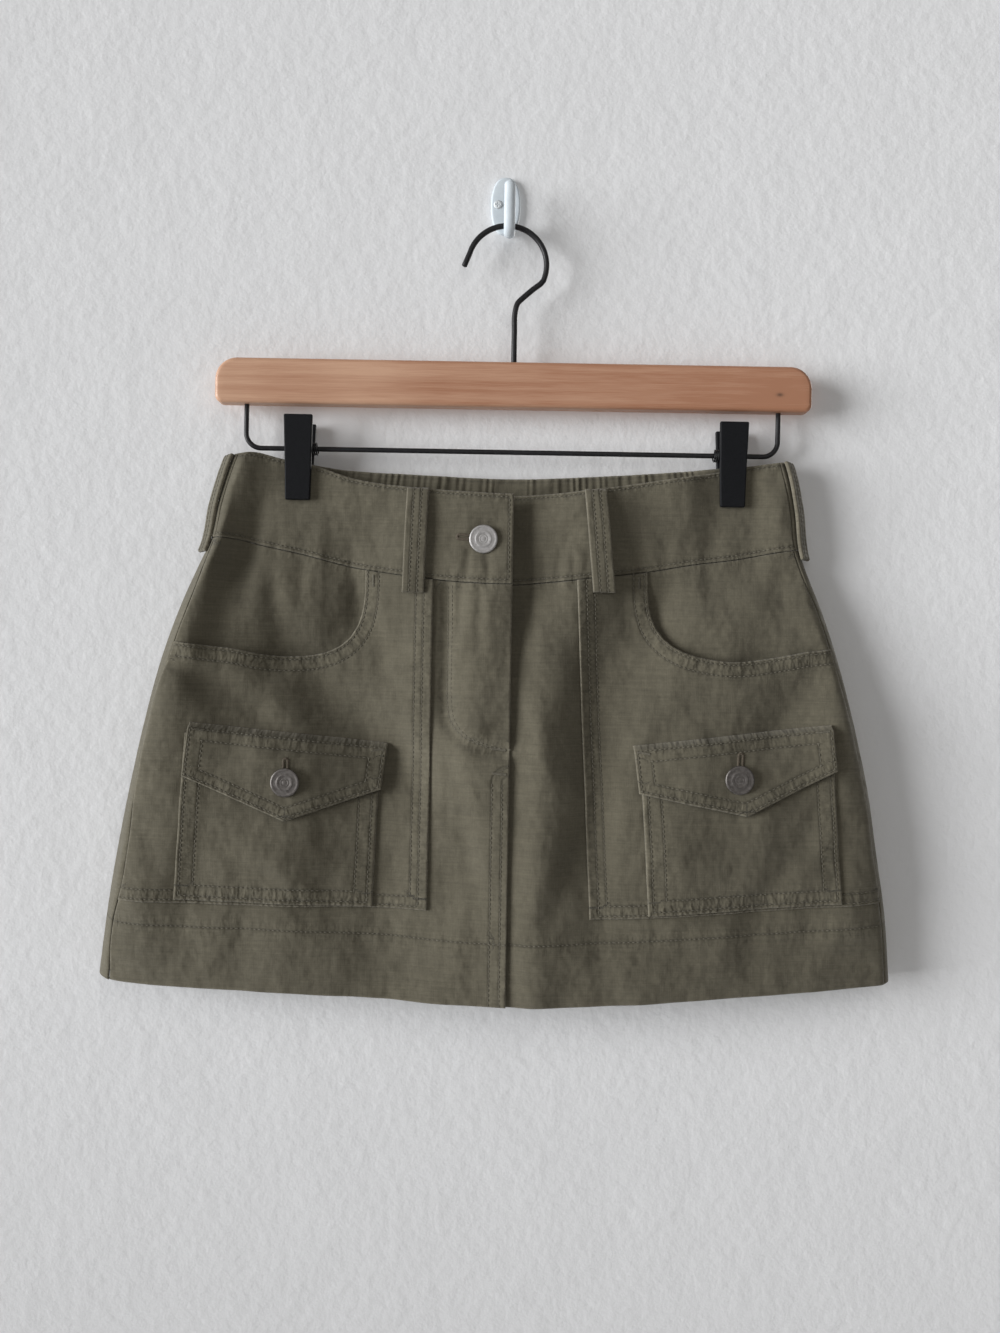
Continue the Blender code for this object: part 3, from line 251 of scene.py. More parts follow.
def share_across(x, level):
    """-1 at the left fold, 1 at the right one."""
    left, right = outline(LEFT, level), outline(RIGHT, level)
    return np.clip((2.0 * x - left - right) / (right - left), -1.0, 1.0)


def side_level(x, z):
    """Height at the side folds of the level line through (x, z), which sags towards the middle."""
    level = z
    for _ in range(3):
        sag = SAG_AT_WAIST + (SAG_AT_HEM - SAG_AT_WAIST) * smoothstep((-200.0 - level) / 250.0)
        level = z + sag * (1.0 - share_across(x, level) ** 2)
    return level


def pinch(x, z):
    """1 where a clip grips the layers, 0 where they hang free."""
    release = np.clip((CLIP_BOTTOM_Z - z) / PINCH_RELEASE, 0.0, 1.0)
    spread = PINCH_SPREAD + PINCH_WIDENING * release
    beside = np.min([np.abs(x - middle) for middle in CLIP_X], axis=0) - CLIP_WIDTH / 2 - GRIP_MARGIN
    return (1.0 - smoothstep(beside / spread)) * (1.0 - smoothstep(release))


def fold_relief(x, z, folds):
    """Sum of soft troughs and ridges, each a bell across its line that fades past both ends."""
    relief = 0.0
    for x0, z0, x1, z1, width, height in folds:
        length = math.hypot(x1 - x0, z1 - z0)
        along = ((x - x0) * (x1 - x0) + (z - z0) * (z1 - z0)) / length
        across = ((x - x0) * (z1 - z0) - (z - z0) * (x1 - x0)) / length
        past_end = np.maximum(np.maximum(-along, along - length), 0.0)
        relief = relief + height * np.exp(-(across / width) ** 2 - (past_end / width / FOLD_FADE) ** 2)
    return relief


def half_depth(x, level, bulge_column):
    """A layer's distance from the middle plane: a round fold at each side, and a bulge between."""
    radius = outline(FOLD_RADIUS, level)
    inset = np.minimum(x - outline(LEFT, level), outline(RIGHT, level) - x)
    inset = np.clip(inset, 0.0, radius)
    round_edge = np.sqrt(radius ** 2 - (radius - inset) ** 2)
    return round_edge + outline(bulge_column, level) * (1.0 - share_across(x, level) ** 2)


def off_folds(x, level):
    """0 on the side folds, 1 a little way inside them."""
    inset = np.minimum(x - outline(LEFT, level), outline(RIGHT, level) - x)
    return smoothstep(inset / SIDE_FADE)


def front_y(x, z):
    """Face of the front layer without its finer creases."""
    level = side_level(x, z)
    grip = pinch(x, z)
    relief = off_folds(x, level) * fold_relief(x, z, FRONT_FOLDS)
    return HANGER_Y - (half_depth(x, level, FRONT_BULGE) + relief) * (1.0 - grip) - GRIPPED_HALF * grip


def undulation(x, z):
    """Slow unevenness of hung canvas: a few crossing waves of 30 to 80 mm, about 0.4 mm high."""
    return sum(WAVE_HEIGHT * np.sin(a * x + b * z + c + 0.8 * np.sin(0.031 * x - 0.027 * z + c))
               for a, b, c in WAVES)


def detail(x, z):
    """Finer creases that all the front layers share."""
    free = off_folds(x, side_level(x, z)) * (1.0 - pinch(x, z))
    return free * (CREASE_STRENGTH * fold_relief(x, z, CREASES) + undulation(x, z))


def draped_y(x, z):
    return front_y(x, z) - detail(x, z)


def lap_back(x, z):
    """How far the wearer's left front stands back where the right one laps over it."""
    near, wide = (1.0 - smoothstep((x - FRONT_EDGE_X - 1.0) / reach) for reach in (LAP_RISE, LAP_WIDE_RISE))
    return near * LAP_STEP + wide * curve_through(LAP[:, (0, 2)], z)


def lower_y(x, z):
    return draped_y(x, z) + lap_back(x, z)


def back_y(x, z):
    """Face of the back layer, next to the wall, without its gathers."""
    grip = pinch(x, z)
    return HANGER_Y + half_depth(x, side_level(x, z), BACK_BULGE) * (1.0 - grip) + GRIPPED_HALF * grip


def right_seam_x(z):
    return outline(LEFT, z) + curve_through(WRAP_RIGHT, z)


def left_seam_x(z):
    return outline(RIGHT, z) - WRAP_LEFT


def right_band_seam_x(z):
    return outline(LEFT, z) + WRAP_BAND


def left_band_seam_x(z):
    return outline(RIGHT, z) - WRAP_BAND


SEAM_X = {"right": right_seam_x, "left": left_seam_x}


def lap_edge_x(z):
    """The wearer's left front's edge, hidden behind the right front."""
    return FRONT_EDGE_X - curve_through(LAP[:, (0, 1)], z)


def utility_y(x, z):
    return draped_y(x, z) - OVERLAY_LIFT


def behind_mouth(side, x, z):
    """How far a front panel sinks behind the mouth of its scoop pocket."""
    line_x = MOUTH_START[side] - np.linspace(0.0, 1.0, 40) ** 1.5 * MOUTH_WIDTH * INWARD[side]
    near = distance_to(np.stack((line_x, mouth_line(side)(line_x)), -1), x, z)[0]
    below_band = smoothstep((curve_through(BAND_SEAM_FRONT, x) - z - 2.0) / MOUTH_FADE_BELOW_BAND)
    from_seam = smoothstep(np.abs(x - SEAM_X[side](z)) / MOUTH_FADE_AT_SEAM)
    return MOUTH_SINK * np.exp(-(near / MOUTH_SINK_REACH) ** 2) * below_band * from_seam


def fly_ditch(x, z):
    """How far the right front panel sinks along the fly's curved line of stitches."""
    near = distance_to(evened(smooth_path(FLY_LINE, PATH_STEPS)) - (1.2, 1.2), x, z)[0]
    return FLY_SINK * np.exp(-(near / FLY_REACH) ** 2)


def upright(top, bottom):
    """x as a function of height, on the straight line through two corners."""
    slope = (top[0] - bottom[0]) / (top[1] - bottom[1])
    return lambda z: top[0] + (z - top[1]) * slope


def through(rows, shift=0.0):
    return lambda at: curve_through(rows, at) + shift


def straight(rows):
    places, values = np.array(sorted(rows), float).T
    return lambda at: np.interp(at, places, values)


def pocket_y(side):
    """Face of a cargo pocket, which swells between its sewn edges and towards its bottom."""
    outer_top, inner_top, inner_bottom, outer_bottom = POCKET[side]

    def surface(x, z):
        outer, inner = upright(outer_top, outer_bottom)(z), upright(inner_top, inner_bottom)(z)
        across = np.clip((x - outer) / (inner - outer), 0.0, 1.0)
        top, bottom = straight((outer_top, inner_top))(x), straight((outer_bottom, inner_bottom))(x)
        down = np.clip((z - top) / (bottom - top), 0.0, 1.0)
        swell = (1.0 - (2.0 * across - 1.0) ** 4) * (0.35 + 0.65 * down) * (1.0 - down ** 4)
        return utility_y(x, z) - OVERLAY_LIFT - POCKET_SWELL * swell
    return surface


def flap_y(side):
    """Face of a pocket flap, which rises from its sewn top edge over the pocket."""
    outer_top, inner_top, inner_bottom, _, outer_bottom = FLAP[side]

    def surface(x, z):
        top = straight((outer_top, inner_top))(x)
        height = straight((outer_bottom, inner_bottom))(x) - top
        rise = smoothstep((z - top) / height / FLAP_TUCK)
        over_pocket = pocket_y(side)(x, z) - FLAP_SWELL
        return utility_y(x, z) * (1.0 - rise) + over_pocket * rise - OVERLAY_LIFT
    return surface


# Grids in elevation


def steps(length, spacing, start=(), end=()):
    """Shares 0 to 1 of a length: close ones at the ends where asked, even ones between."""
    first, last = (start[-1] if start else 0.0), length - (end[-1] if end else 0.0)
    even = np.linspace(first, last, max(2, int(round((last - first) / spacing)) + 1))
    listed = np.concatenate(([0.0] if start else [], start[:-1], even, length - np.array(end[:-1])[::-1],
                             [length] if end else []))
    return listed / length


def joined(*shares):
    """Places on numbered lines from the shares between each two of them."""
    return np.concatenate([shares[0]] + [i + 1 + share[1:] for i, share in enumerate(shares[1:])])


def between(lines, place, at):
    """Value at a place on numbered lines: 1.25 is a quarter of the way from line 1 to line 2."""
    values = [line(at) + 0.0 * at for line in lines]
    return values[0] + sum((end - start) * np.clip(place - number, 0.0, 1.0)
                           for number, (start, end) in enumerate(zip(values, values[1:])))


def elevation_grid(uprights, across, levels, down):
    """Points x and z at places on upright lines, x of z, and at places on level lines, z of x."""
    across, down = np.meshgrid(across, down, indexing="ij")
    z = np.full(across.shape, MIDDLE_Z)
    for _ in range(GRID_ROUNDS):
        x = between(uprights, across, z)
        z = between(levels, down, x)
    return x, z


def every(count, stride):
    """Every stride-th number below count, with the last one."""
    return np.unique(np.concatenate((np.arange(0, count, stride), [count - 1])))


# Sewn edges


def evened(line, spacing=1.5):
    """A line of (x, z) points resampled to even steps."""
    run = run_along(line)
    return read_along(line, run, np.linspace(0.0, run[-1], max(2, int(run[-1] / spacing) + 1)))


def distance_to(line, x, z):
    """Distance of points from a line, and how far along it the nearest place is."""
    start, way = line[:-1], np.diff(line, axis=0)
    length = np.maximum(np.hypot(*way.T), TINY)
    run = np.concatenate(([0.0], np.cumsum(length)[:-1]))
    distance, along = np.empty(x.size), np.empty(x.size)
    points = np.stack((x.ravel(), z.ravel()), -1)
    for first in range(0, len(points), POINTS_AT_ONCE):
        batch = slice(first, first + POINTS_AT_ONCE)
        delta = points[batch, None] - start[None]
        share = np.clip((delta * way).sum(-1) / length ** 2, 0.0, 1.0)
        gap = np.linalg.norm(delta - share[..., None] * way, axis=-1)
        nearest = gap.argmin(1)
        row = np.arange(len(gap))
        distance[batch] = gap[row, nearest]
        along[batch] = run[nearest] + share[row, nearest] * length[nearest]
    return distance.reshape(x.shape), along.reshape(x.shape)


class Edge:
    """An edge of a piece: its line, the seams at distances inside it and how the cloth behaves there."""

    def __init__(self, line, inward, rolled=1.0, seams=(), band=6.0, pucker=0.0, wear=0.5, group=0):
        self.line = evened(np.asarray(line, float))
        self.inward, self.rolled, self.seams = inward, rolled, seams
        self.band, self.pucker, self.wear, self.group = band, pucker, wear, group

    def inset(self, distance):
        """The line moved inward by a distance."""
        way = np.gradient(self.line, axis=0)
        normal = np.stack((-way[:, 1], way[:, 0]), -1)
        normal = normal / np.maximum(np.linalg.norm(normal, axis=1, keepdims=True), TINY)
        middle = len(self.line) // 2
        if np.dot(normal[middle], np.array(self.inward) - self.line[middle]) < 0.0:
            normal = -normal
        return self.line + normal * distance


class Sewing:
    """What the sewn edges do to a grid of points: how far the face rolls back, and the shader's fields."""

    def __init__(self, x, z, edges):
        shape = x.shape
        self.grain = np.stack((x, z), -1)
        self.nearest = np.full(shape, FAR)
        self.drop, self.wear, weight = np.zeros(shape), np.zeros(shape), np.zeros(shape)
        self.seam = np.zeros(shape + (3,))
        self.lines = np.full(shape + (3,), NO_SEAM)
        for edge in edges:
            distance, along = distance_to(edge.line, x, z)
            if edge.rolled > 0.0:
                self.nearest = np.minimum(self.nearest, distance)
                short = np.clip(edge.rolled - distance, 0.0, edge.rolled)
                self.drop = np.maximum(self.drop, edge.rolled - np.sqrt(edge.rolled ** 2 - short ** 2))
            self.wear = np.maximum(self.wear, edge.wear * np.exp(-(distance / WEAR_REACH) ** 2))
            for number, seam in enumerate(edge.seams):
                slot = min(edge.group + number, 2)
                self.lines[..., slot] = np.minimum(self.lines[..., slot], distance - seam)
            if edge.pucker > 0.0:
                strength = edge.pucker * np.exp(-np.abs((distance - edge.band * 0.5) / edge.band) ** 3 * 1.5)
                over = strength > weight
                weight = np.where(over, strength, weight)
                self.seam[over, 0], self.seam[over, 1] = along[over], distance[over]
        self.seam[..., 2] = weight


# Meshes


def quads(grid):
    return np.stack((grid[:-1, :-1], grid[1:, :-1], grid[1:, 1:], grid[:-1, 1:]), -1).reshape(-1, 4)


def shell_faces(rows, columns, keep_rows, keep_columns):
    """Faces of a closed wall: a fine outer grid, a coarser inner one and rims of many-cornered faces."""
    outer = np.arange(rows * columns).reshape(rows, columns)
    inner = rows * columns + np.arange(len(keep_rows) * len(keep_columns)).reshape(len(keep_rows), -1)
    groups = {4: [quads(outer), quads(inner)[:, ::-1]]}
    rims = ((outer[:, 0], inner[:, 0], keep_rows, 1), (outer[:, -1], inner[:, -1], keep_rows, -1),
            (outer[0], inner[0], keep_columns, -1), (outer[-1], inner[-1], keep_columns, 1))
    for fine, coarse, keep, turn in rims:
        for i, (a, b) in enumerate(zip(keep[:-1], keep[1:])):
            ring = np.concatenate((fine[a:b + 1][::-1], coarse[i:i + 2]))[::turn]
            groups.setdefault(len(ring), []).append(ring[None])
    return [np.concatenate(group) for group in groups.values()]


def tube_faces(rings, sides):
    """Faces of a tube of closed rings, with a cap at each end."""
    grid = np.arange(rings * sides).reshape(rings, sides)
    return [quads(np.concatenate((grid, grid[:, :1]), 1)), np.stack((grid[0], grid[-1][::-1]))]


def signed_volume(points, groups):
    total = 0.0
    for faces in groups:
        for i in range(1, faces.shape[1] - 1):
            a, b, c = points[faces[:, 0]], points[faces[:, i]], points[faces[:, i + 1]]
            total += np.einsum("ij,ij->i", a, np.cross(b, c)).sum()
    return total


def make_mesh(name, points, groups):
    """A closed mesh from points in the hanger's frame and arrays of faces, turned outward."""
    points = points.reshape(-1, 3)
    if signed_volume(points - points.mean(0), groups) < 0.0:
        groups = [faces[:, ::-1] for faces in groups]
    mesh = bpy.data.meshes.new(name)
    mesh.vertices.add(len(points))
    mesh.vertices.foreach_set("co", ((points + SEAT) * MM).astype(np.float32).ravel())
    corners = np.concatenate([faces.ravel() for faces in groups]).astype(np.int32)
    sizes = np.concatenate([np.full(len(faces), faces.shape[1]) for faces in groups])
    mesh.loops.add(len(corners))
    mesh.loops.foreach_set("vertex_index", corners)
    mesh.polygons.add(len(sizes))
    mesh.polygons.foreach_set("loop_start", np.concatenate(([0], np.cumsum(sizes)[:-1])).astype(np.int32))
    mesh.update(calc_edges=True)
    mesh.shade_smooth()
    return mesh


def add_piece(name, mesh, finish, nodes=()):
    """Links a piece, which rides on the one body and may stand for CAD nodes."""
    piece = bpy.data.objects.new(name, mesh)
    bpy.context.scene.collection.objects.link(piece)
    mesh.materials.append(MATERIALS[finish])
    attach(piece, "root")
    if nodes:
        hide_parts(*nodes)
    return piece


def add_hard(name, ending, mesh, finish):
    """A piece that stands for the CAD node of its name."""
    return add_piece(f"{name}_{ending}", mesh, finish, (name,))


def add_shell(name, outer, inner, sewing, flat, held="hung", stride=(4, 4), rests_on=("clip_rail",)):
    """A cloth piece between an outer grid and an inner one, which keeps only every few rows."""
    rows, columns = outer.shape[:2]
    keep_rows, keep_columns = every(rows, stride[0]), every(columns, stride[1])
    pick = np.ix_(keep_rows, keep_columns)
    points = np.concatenate((outer.reshape(-1, 3), inner[pick].reshape(-1, 3)))
    mesh = make_mesh(name, points, shell_faces(rows, columns, keep_rows, keep_columns))
    for field, kind, width in (("grain", "FLOAT2", 2), ("wear", "FLOAT", 1), ("seam", "FLOAT_VECTOR", 3),
                               ("lines", "FLOAT_VECTOR", 3)):
        values = getattr(sewing, field).reshape(rows, columns, width) * (MM if field == "grain" else 1.0)
        values = np.concatenate((values.reshape(-1, width), values[pick].reshape(-1, width)))
        data = mesh.attributes.new(field, kind, "POINT").data
        data.foreach_set("value" if width == 1 else "vector", values.astype(np.float32).ravel())
    piece = add_piece(name + "_cloth", mesh, "canvas", (name,))
    area = grid_area(outer)
    flat[0] * MM
    flat[1] * MM


def grid_area(points):
    """Area of a grid of points."""
    a, b = points[1:, 1:] - points[:-1, :-1], points[1:, :-1] - points[:-1, 1:]
    return float(np.linalg.norm(np.cross(a, b), axis=-1).sum() / 2)


# Stitches

SEWN = {}


def sew(group, line, surface, keep=None):
    """Adds a row of stitches along a line of (x, z) points on a surface to a group of them."""
    run = run_along(line)
    count = int(run[-1] / STITCH_PITCH)
    if count < 1:
        return
    starts = (np.arange(count) + FIRST_STITCH) * run[-1] / count
    ends = starts + STITCH_SHARE * run[-1] / count
    pairs = np.stack([read_along(line, run, at) for at in (starts, ends)], 1)
    if keep is not None:
        pairs = pairs[keep(pairs[:, :, 0].mean(1), pairs[:, :, 1].mean(1))]
    if len(pairs):
        SEWN.setdefault(group, []).append(stitch_points(pairs, surface, SEAM_LIFT))


def thread_rings(centre, along, up):
    """Rings of points round stitches with four centres each, from their direction and outward side."""
    side = np.cross(along, up)
    angle = turns(THREAD_SIDES)
    ring = np.cos(angle)[:, None] * up[:, :, None] + np.sin(angle)[:, None] * side[:, :, None]
    return centre[:, :, None] + ring * (THREAD_RADIUS * THREAD_SWELL)[None, :, None, None]


def stitch_points(pairs, surface, lift):
    """Rings of points round each stitch, a thread that dips into the cloth at both ends."""
    middle = pairs[:, :1] + (pairs[:, 1:] - pairs[:, :1]) * THREAD_PLACES[None, :, None]
    y = surface(middle[..., 0], middle[..., 1]) - (THREAD_DIP + lift)
    centre = np.stack((middle[..., 0], y, middle[..., 1]), -1)
    along = unit(centre[:, -1:] - centre[:, :1])
    return thread_rings(centre, along, unit(np.array((0.0, -1.0, 0.0)) + along * along[..., 1:2]))


def line_and_side(start, end):
    """Both ends, the direction between them and the one square to it."""
    start, end = np.array(start, float), np.array(end, float)
    along = (end - start) / np.linalg.norm(end - start)
    return start, end, along, np.array((-along[1], along[0]))


def tack(group, start, end, width, surface):
    """A bar tack: close stitches across a short line."""
    start, end, along, side = line_and_side(start, end)
    count = int(np.linalg.norm(end - start) / TACK_PITCH) + 1
    place = start + (end - start) * np.linspace(0.0, 1.0, count)[:, None]
    side = side * width / 2
    pairs = np.stack((place - side, place + side + along * TACK_PITCH * 0.5), 1)
    SEWN.setdefault(group, []).append(stitch_points(pairs, surface, TACK_LIFT))


def buttonhole(group, start, end, surface):
    """Close stitches that stand round a slit from start to end."""
    start, end, along, side = line_and_side(start, end)
    turn = np.linspace(0.0, math.pi, 9)[:, None]
    cap = side * np.cos(turn) + along * np.sin(turn)
    way = np.concatenate((np.repeat([side], 2, 0), cap, np.repeat([-side], 2, 0)))
    middle = np.concatenate((np.linspace(start, end, 2), np.repeat([end], 9, 0), np.linspace(end, start, 2)))
    run = run_along(middle + way * HOLE_HALF)
    at = np.arange(0.0, run[-1], HOLE_PITCH)
    middle, way = (read_along(rows, run, at) for rows in (middle, way))
    pairs = np.stack((middle + way * 0.35, middle + way * HOLE_HALF), 1)
    SEWN.setdefault(group, []).append(stitch_points(pairs, surface, HOLE_LIFT))


def add_stitches():
    for group, batches in SEWN.items():
        points = np.concatenate(batches)
        count, rings, sides = points.shape[:3]
        first = (np.arange(count) * rings * sides)[:, None, None]
        faces = [(part + first).reshape(-1, part.shape[1]) for part in tube_faces(rings, sides)]
        finish = "buttonhole_thread" if "buttonhole" in group else "thread"
        add_piece(group, make_mesh(group, points, faces), finish)


def sew_edges(group, edges, surface):
    """Stitches along every seam of a piece's edges, left out where another edge's seam turns the corner."""
    for edge in edges:
        for number, seam in enumerate(edge.seams):
            rivals = [(other, other.seams[number]) for other in edges
                      if other is not edge and len(other.seams) > number and other.group == edge.group]

            def inside(x, z, rivals=rivals):
                clear = np.ones(x.shape, bool)
                for other, distance in rivals:
                    clear &= distance_to(other.line, x, z)[0] > distance - CORNER_SPARE
                return clear
            sew(group, evened(edge.inset(seam), 1.0), surface, inside)


# Materials

FLOAT, VECTOR, COLOUR = "NodeSocketFloat", "NodeSocketVector", "NodeSocketColor"


def connect(made, inputs):
    """Sets a node's inputs, by name or number: a Value is linked, anything else is put on the socket."""
    for key, value in inputs.items():
        if isinstance(value, Value):
            made.id_data.links.new(value.socket, made.inputs[key])
        else:
            made.inputs[key].default_value = value
    return made


def node(tree, kind, inputs=None, **settings):
    made = tree.nodes.new(kind)
    for key, value in settings.items():
        setattr(made, key, value)
    return connect(made, inputs or {})


class Value:
    """An output of a node. Its arithmetic and its methods add nodes to the same tree."""

    def __init__(self, made, output=0):
        self.socket = made.outputs[output]

    def into(self, kind, inputs, output=0, **settings):
        return Value(node(self.socket.id_data, kind, inputs, **settings), output)

    def maths(self, operation, *others):
        return self.into("ShaderNodeMath", dict(enumerate((self, *others))), operation=operation)

    def vector_maths(self, operation, other):
        return self.into("ShaderNodeVectorMath", {0: self, 1: other}, operation=operation)

    def __add__(self, other):
        return self.maths("ADD", other)

    def __sub__(self, other):
        return self.maths("SUBTRACT", other)

    def __mul__(self, other):
        return self.maths("MULTIPLY", other)

    def bell(self):
        return (self * self * -1.0).maths("EXPONENT")

    def stretch(self, *scale):
        return self.vector_maths("MULTIPLY", scale)

    def noise(self, scale=1.0, detail=2.0, roughness=0.5):
        return self.into("ShaderNodeTexNoise", {
            "Vector": self, "Scale": scale, "Detail": detail, "Roughness": roughness}, "Fac")

    def ramp(self, low, high, start, end):
        return self.into("ShaderNodeMapRange", {
            "Value": self, "From Min": low, "From Max": high, "To Min": start, "To Max": end}, "Result")

    def mix(self, first, second):
        return self.into("ShaderNodeMix", {0: self, 6: first, 7: second}, 2, data_type="RGBA")

    def shade(self, tone):
        return self.into("ShaderNodeVectorMath", {0: self, "Scale": tone}, operation="SCALE")

    def bump(self, strength=1.0):
        return self.into("ShaderNodeBump", {"Height": self, "Strength": strength, "Distance": 1.0})

    def parts(self):
        split = node(self.socket.id_data, "ShaderNodeSeparateXYZ", {0: self})
        return [Value(split, axis) for axis in range(3)]


def finish_group(name, inputs):
    """A node group with inputs of a kind and a value, which puts out a colour, a roughness and a height."""
    group = bpy.data.node_groups.new(name, "ShaderNodeTree")
    for title, (kind, value) in inputs.items():
        socket = group.interface.new_socket(title, in_out="INPUT", socket_type=kind)
        if value is not None:
            socket.default_value = value
    for title, kind in (("Colour", COLOUR), ("Roughness", FLOAT), ("Height", FLOAT)):
        group.interface.new_socket(title, in_out="OUTPUT", socket_type=kind)
    given = group.nodes.new("NodeGroupInput")
    return {title: Value(given, title) for title in inputs}, group.nodes.new("NodeGroupOutput")


def weave_group():
    """Cotton canvas: uneven threads both ways, slubs along the weft, slow mottling, pale worn edges, seams
    pressed in with painted shade along them, and the puckers beside them with painted light and shade. Height
    is in metres."""
    given, result = finish_group("canvas_weave", {
        "Grain": (VECTOR, None), "Seam": (VECTOR, None), "Lines": (VECTOR, None), "Wear": (FLOAT, 0.0),
        "Colour": (COLOUR, (0.104, 0.0935, 0.066, 1.0)),
        "Worn Colour": (COLOUR, (0.19, 0.172, 0.131, 1.0))})
    grain = given["Grain"]
    weft = grain.stretch(90.0, 1500.0, 1.0).noise(detail=3.0)
    warp = grain.stretch(1500.0, 120.0, 1.0).noise()
    slub = grain.stretch(28.0, 620.0, 1.0).noise()
    fleck = grain.stretch(700.0, 700.0, 1.0).noise()
    mottle = grain.noise(26.0, 3.0)
    run, depth, weight = given["Seam"].parts()
    pucker = run.into("ShaderNodeCombineXYZ", {0: run * 0.3, 1: depth * 0.16}).noise(detail=1.5)
    pucker = (pucker - 0.5) * weight
    # the seam lines press the cloth in and also darken its colour: painted shade in the seams' grooves
    seam_dip_and_shade = 0.0
    for line in given["Lines"].parts():
        seam_dip_and_shade = line.maths("DIVIDE", 0.8).bell() + seam_dip_and_shade
    threads = weft * 0.55 + warp * 0.45
    tone = threads.ramp(0.3, 0.7, 0.9, 1.1) + slub.ramp(0.3, 0.75, -0.07, 0.11)
    tone = tone * mottle.ramp(0.3, 0.7, 0.93, 1.07) * fleck.ramp(0.25, 0.75, 0.92, 1.08)
    # painted light and shade: the colour is lighter on the puckers' ridges and darker in their dimples
    tone = tone * pucker.ramp(-0.2, 0.2, 0.78, 1.17) * seam_dip_and_shade.ramp(0.0, 1.0, 1.0, 0.78)
    worn = (given["Wear"] * fleck.ramp(0.3, 0.7, 0.6, 1.15)).maths("MINIMUM", 0.9)
    dents = grain.stretch(62.0, 48.0, 1.0).noise(roughness=0.45) * 0.003
    dents = dents + grain.noise(150.0, 1.5, 0.4) * 0.0006
    return connect(result, {
        "Colour": worn.mix(given["Colour"], given["Worn Colour"]).shade(tone),
        "Roughness": threads.ramp(0.3, 0.7, 0.97, 0.86),
        "Height": threads * 0.00022 + dents + slub * 0.0001 + pucker * 0.0017 + seam_dip_and_shade * -0.0003}).id_data


def grained_group():
    """A finish with grain: two colours mixed by noise, uneven gloss, small relief."""
    given, result = finish_group("grained_finish", {
        "Vector": (VECTOR, None), "Scale": (FLOAT, 300.0), "First": (COLOUR, (0.1, 0.1, 0.1, 1.0)),
        "Second": (COLOUR, (0.2, 0.2, 0.2, 1.0)), "Rough Low": (FLOAT, 0.4), "Rough High": (FLOAT, 0.6),
        "Relief": (FLOAT, 0.00002)})
    grain = given["Vector"].noise(given["Scale"], 4.0, 0.6)
    clear = grain.ramp(0.3, 0.7, 0.0, 1.0)
    return connect(result, {
        "Colour": clear.mix(given["First"], given["Second"]),
        "Roughness": clear.ramp(0.0, 1.0, given["Rough Low"], given["Rough High"]),
        "Height": grain * given["Relief"]}).id_data


def wood_group():
    """Planed beech: long streaks along x, fine pores, and one small knot that bends them; painted shade
    darkens the wood towards its right end.
    """
    given, result = finish_group("beech_grain", {
        "Vector": (VECTOR, None), "Light": (COLOUR, (0.56, 0.335, 0.22, 1.0)),
        "Dark": (COLOUR, (0.36, 0.165, 0.09, 1.0))})
    place = given["Vector"]
    to_knot = place.vector_maths("SUBTRACT", (0.1652, -0.018, -0.1151)).stretch(0.55, 0.3, 1.0)
    away = to_knot.into("ShaderNodeVectorMath", {0: to_knot}, "Value", operation="LENGTH")
    near = (away * -420.0).maths("EXPONENT")
    bent = place.vector_maths("ADD", near.into("ShaderNodeCombineXYZ", {2: near * 0.006}))
    streak = bent.stretch(5.0, 60.0, 210.0).noise(1.0, 3.0, 0.55)
    pores = bent.stretch(60.0, 900.0, 1900.0).noise()
    dark = streak.ramp(0.32, 0.7, 0.0, 0.75) + pores.ramp(0.4, 0.75, 0.0, 0.3)
    dark = dark + place.noise(14.0).ramp(0.35, 0.7, -0.15, 0.2)
    # painted shade: the wood gets steadily darker towards the bar's right end, away from the window's light
    dark = dark + place.parts()[0].ramp(-0.17, 0.18, -0.3, 0.75) + near * 1.6
    grain = dark.into("ShaderNodeClamp", {0: dark, 1: 0.0, 2: 1.0}).mix(given["Light"], given["Dark"])
    return connect(result, {
        "Colour": grain.shade((away * 900.0).bell() * -0.65 + 1.0),
        "Roughness": pores.ramp(0.3, 0.7, 0.42, 0.55), "Height": pores * -0.00004}).id_data


def new_tree(name):
    """A new material, its node tree and its shader."""
    material = bpy.data.materials.new(name)
    material.use_nodes = True
    return material, material.node_tree, material.node_tree.nodes["Principled BSDF"]


def attribute(tree, name, output="Vector"):
    return Value(node(tree, "ShaderNodeAttribute", attribute_name=name), output)


def object_place(tree):
    return Value(node(tree, "ShaderNodeTexCoord"), "Object")


def finished(name, group, inputs_in, shading):
    """A material whose shader takes its colour, roughness and relief from a group."""
    material, tree, shader = new_tree(name)
    made = node(tree, "ShaderNodeGroup", inputs_in(tree), node_tree=group)
    connect(shader, {"Base Color": Value(made, "Colour"), "Roughness": Value(made, "Roughness"),
                     "Normal": Value(made, "Height").bump(), **shading})
    return material


def grained(name, first, second, rough, scale, relief, metallic=0.0, specular=0.5):
    return finished(name, GRAINED, lambda tree: {
        "Vector": object_place(tree), "Scale": scale, "First": (*first, 1.0), "Second": (*second, 1.0),
        "Rough Low": rough[0], "Rough High": rough[1], "Relief": relief},
        {"Metallic": metallic, "Specular IOR Level": specular})


GRAINED = grained_group()
MATERIALS = {
    "canvas": finished("canvas", weave_group(), lambda tree: {
        "Grain": attribute(tree, "grain"), "Seam": attribute(tree, "seam"),
        "Lines": attribute(tree, "lines"), "Wear": attribute(tree, "wear", "Fac")},
        {"Sheen Weight": 0.12, "Sheen Roughness": 0.6, "Specular IOR Level": 0.25}),
    "beech": finished("beech", wood_group(), lambda tree: {"Vector": object_place(tree)},
                      {"Coat Weight": 0.08})}
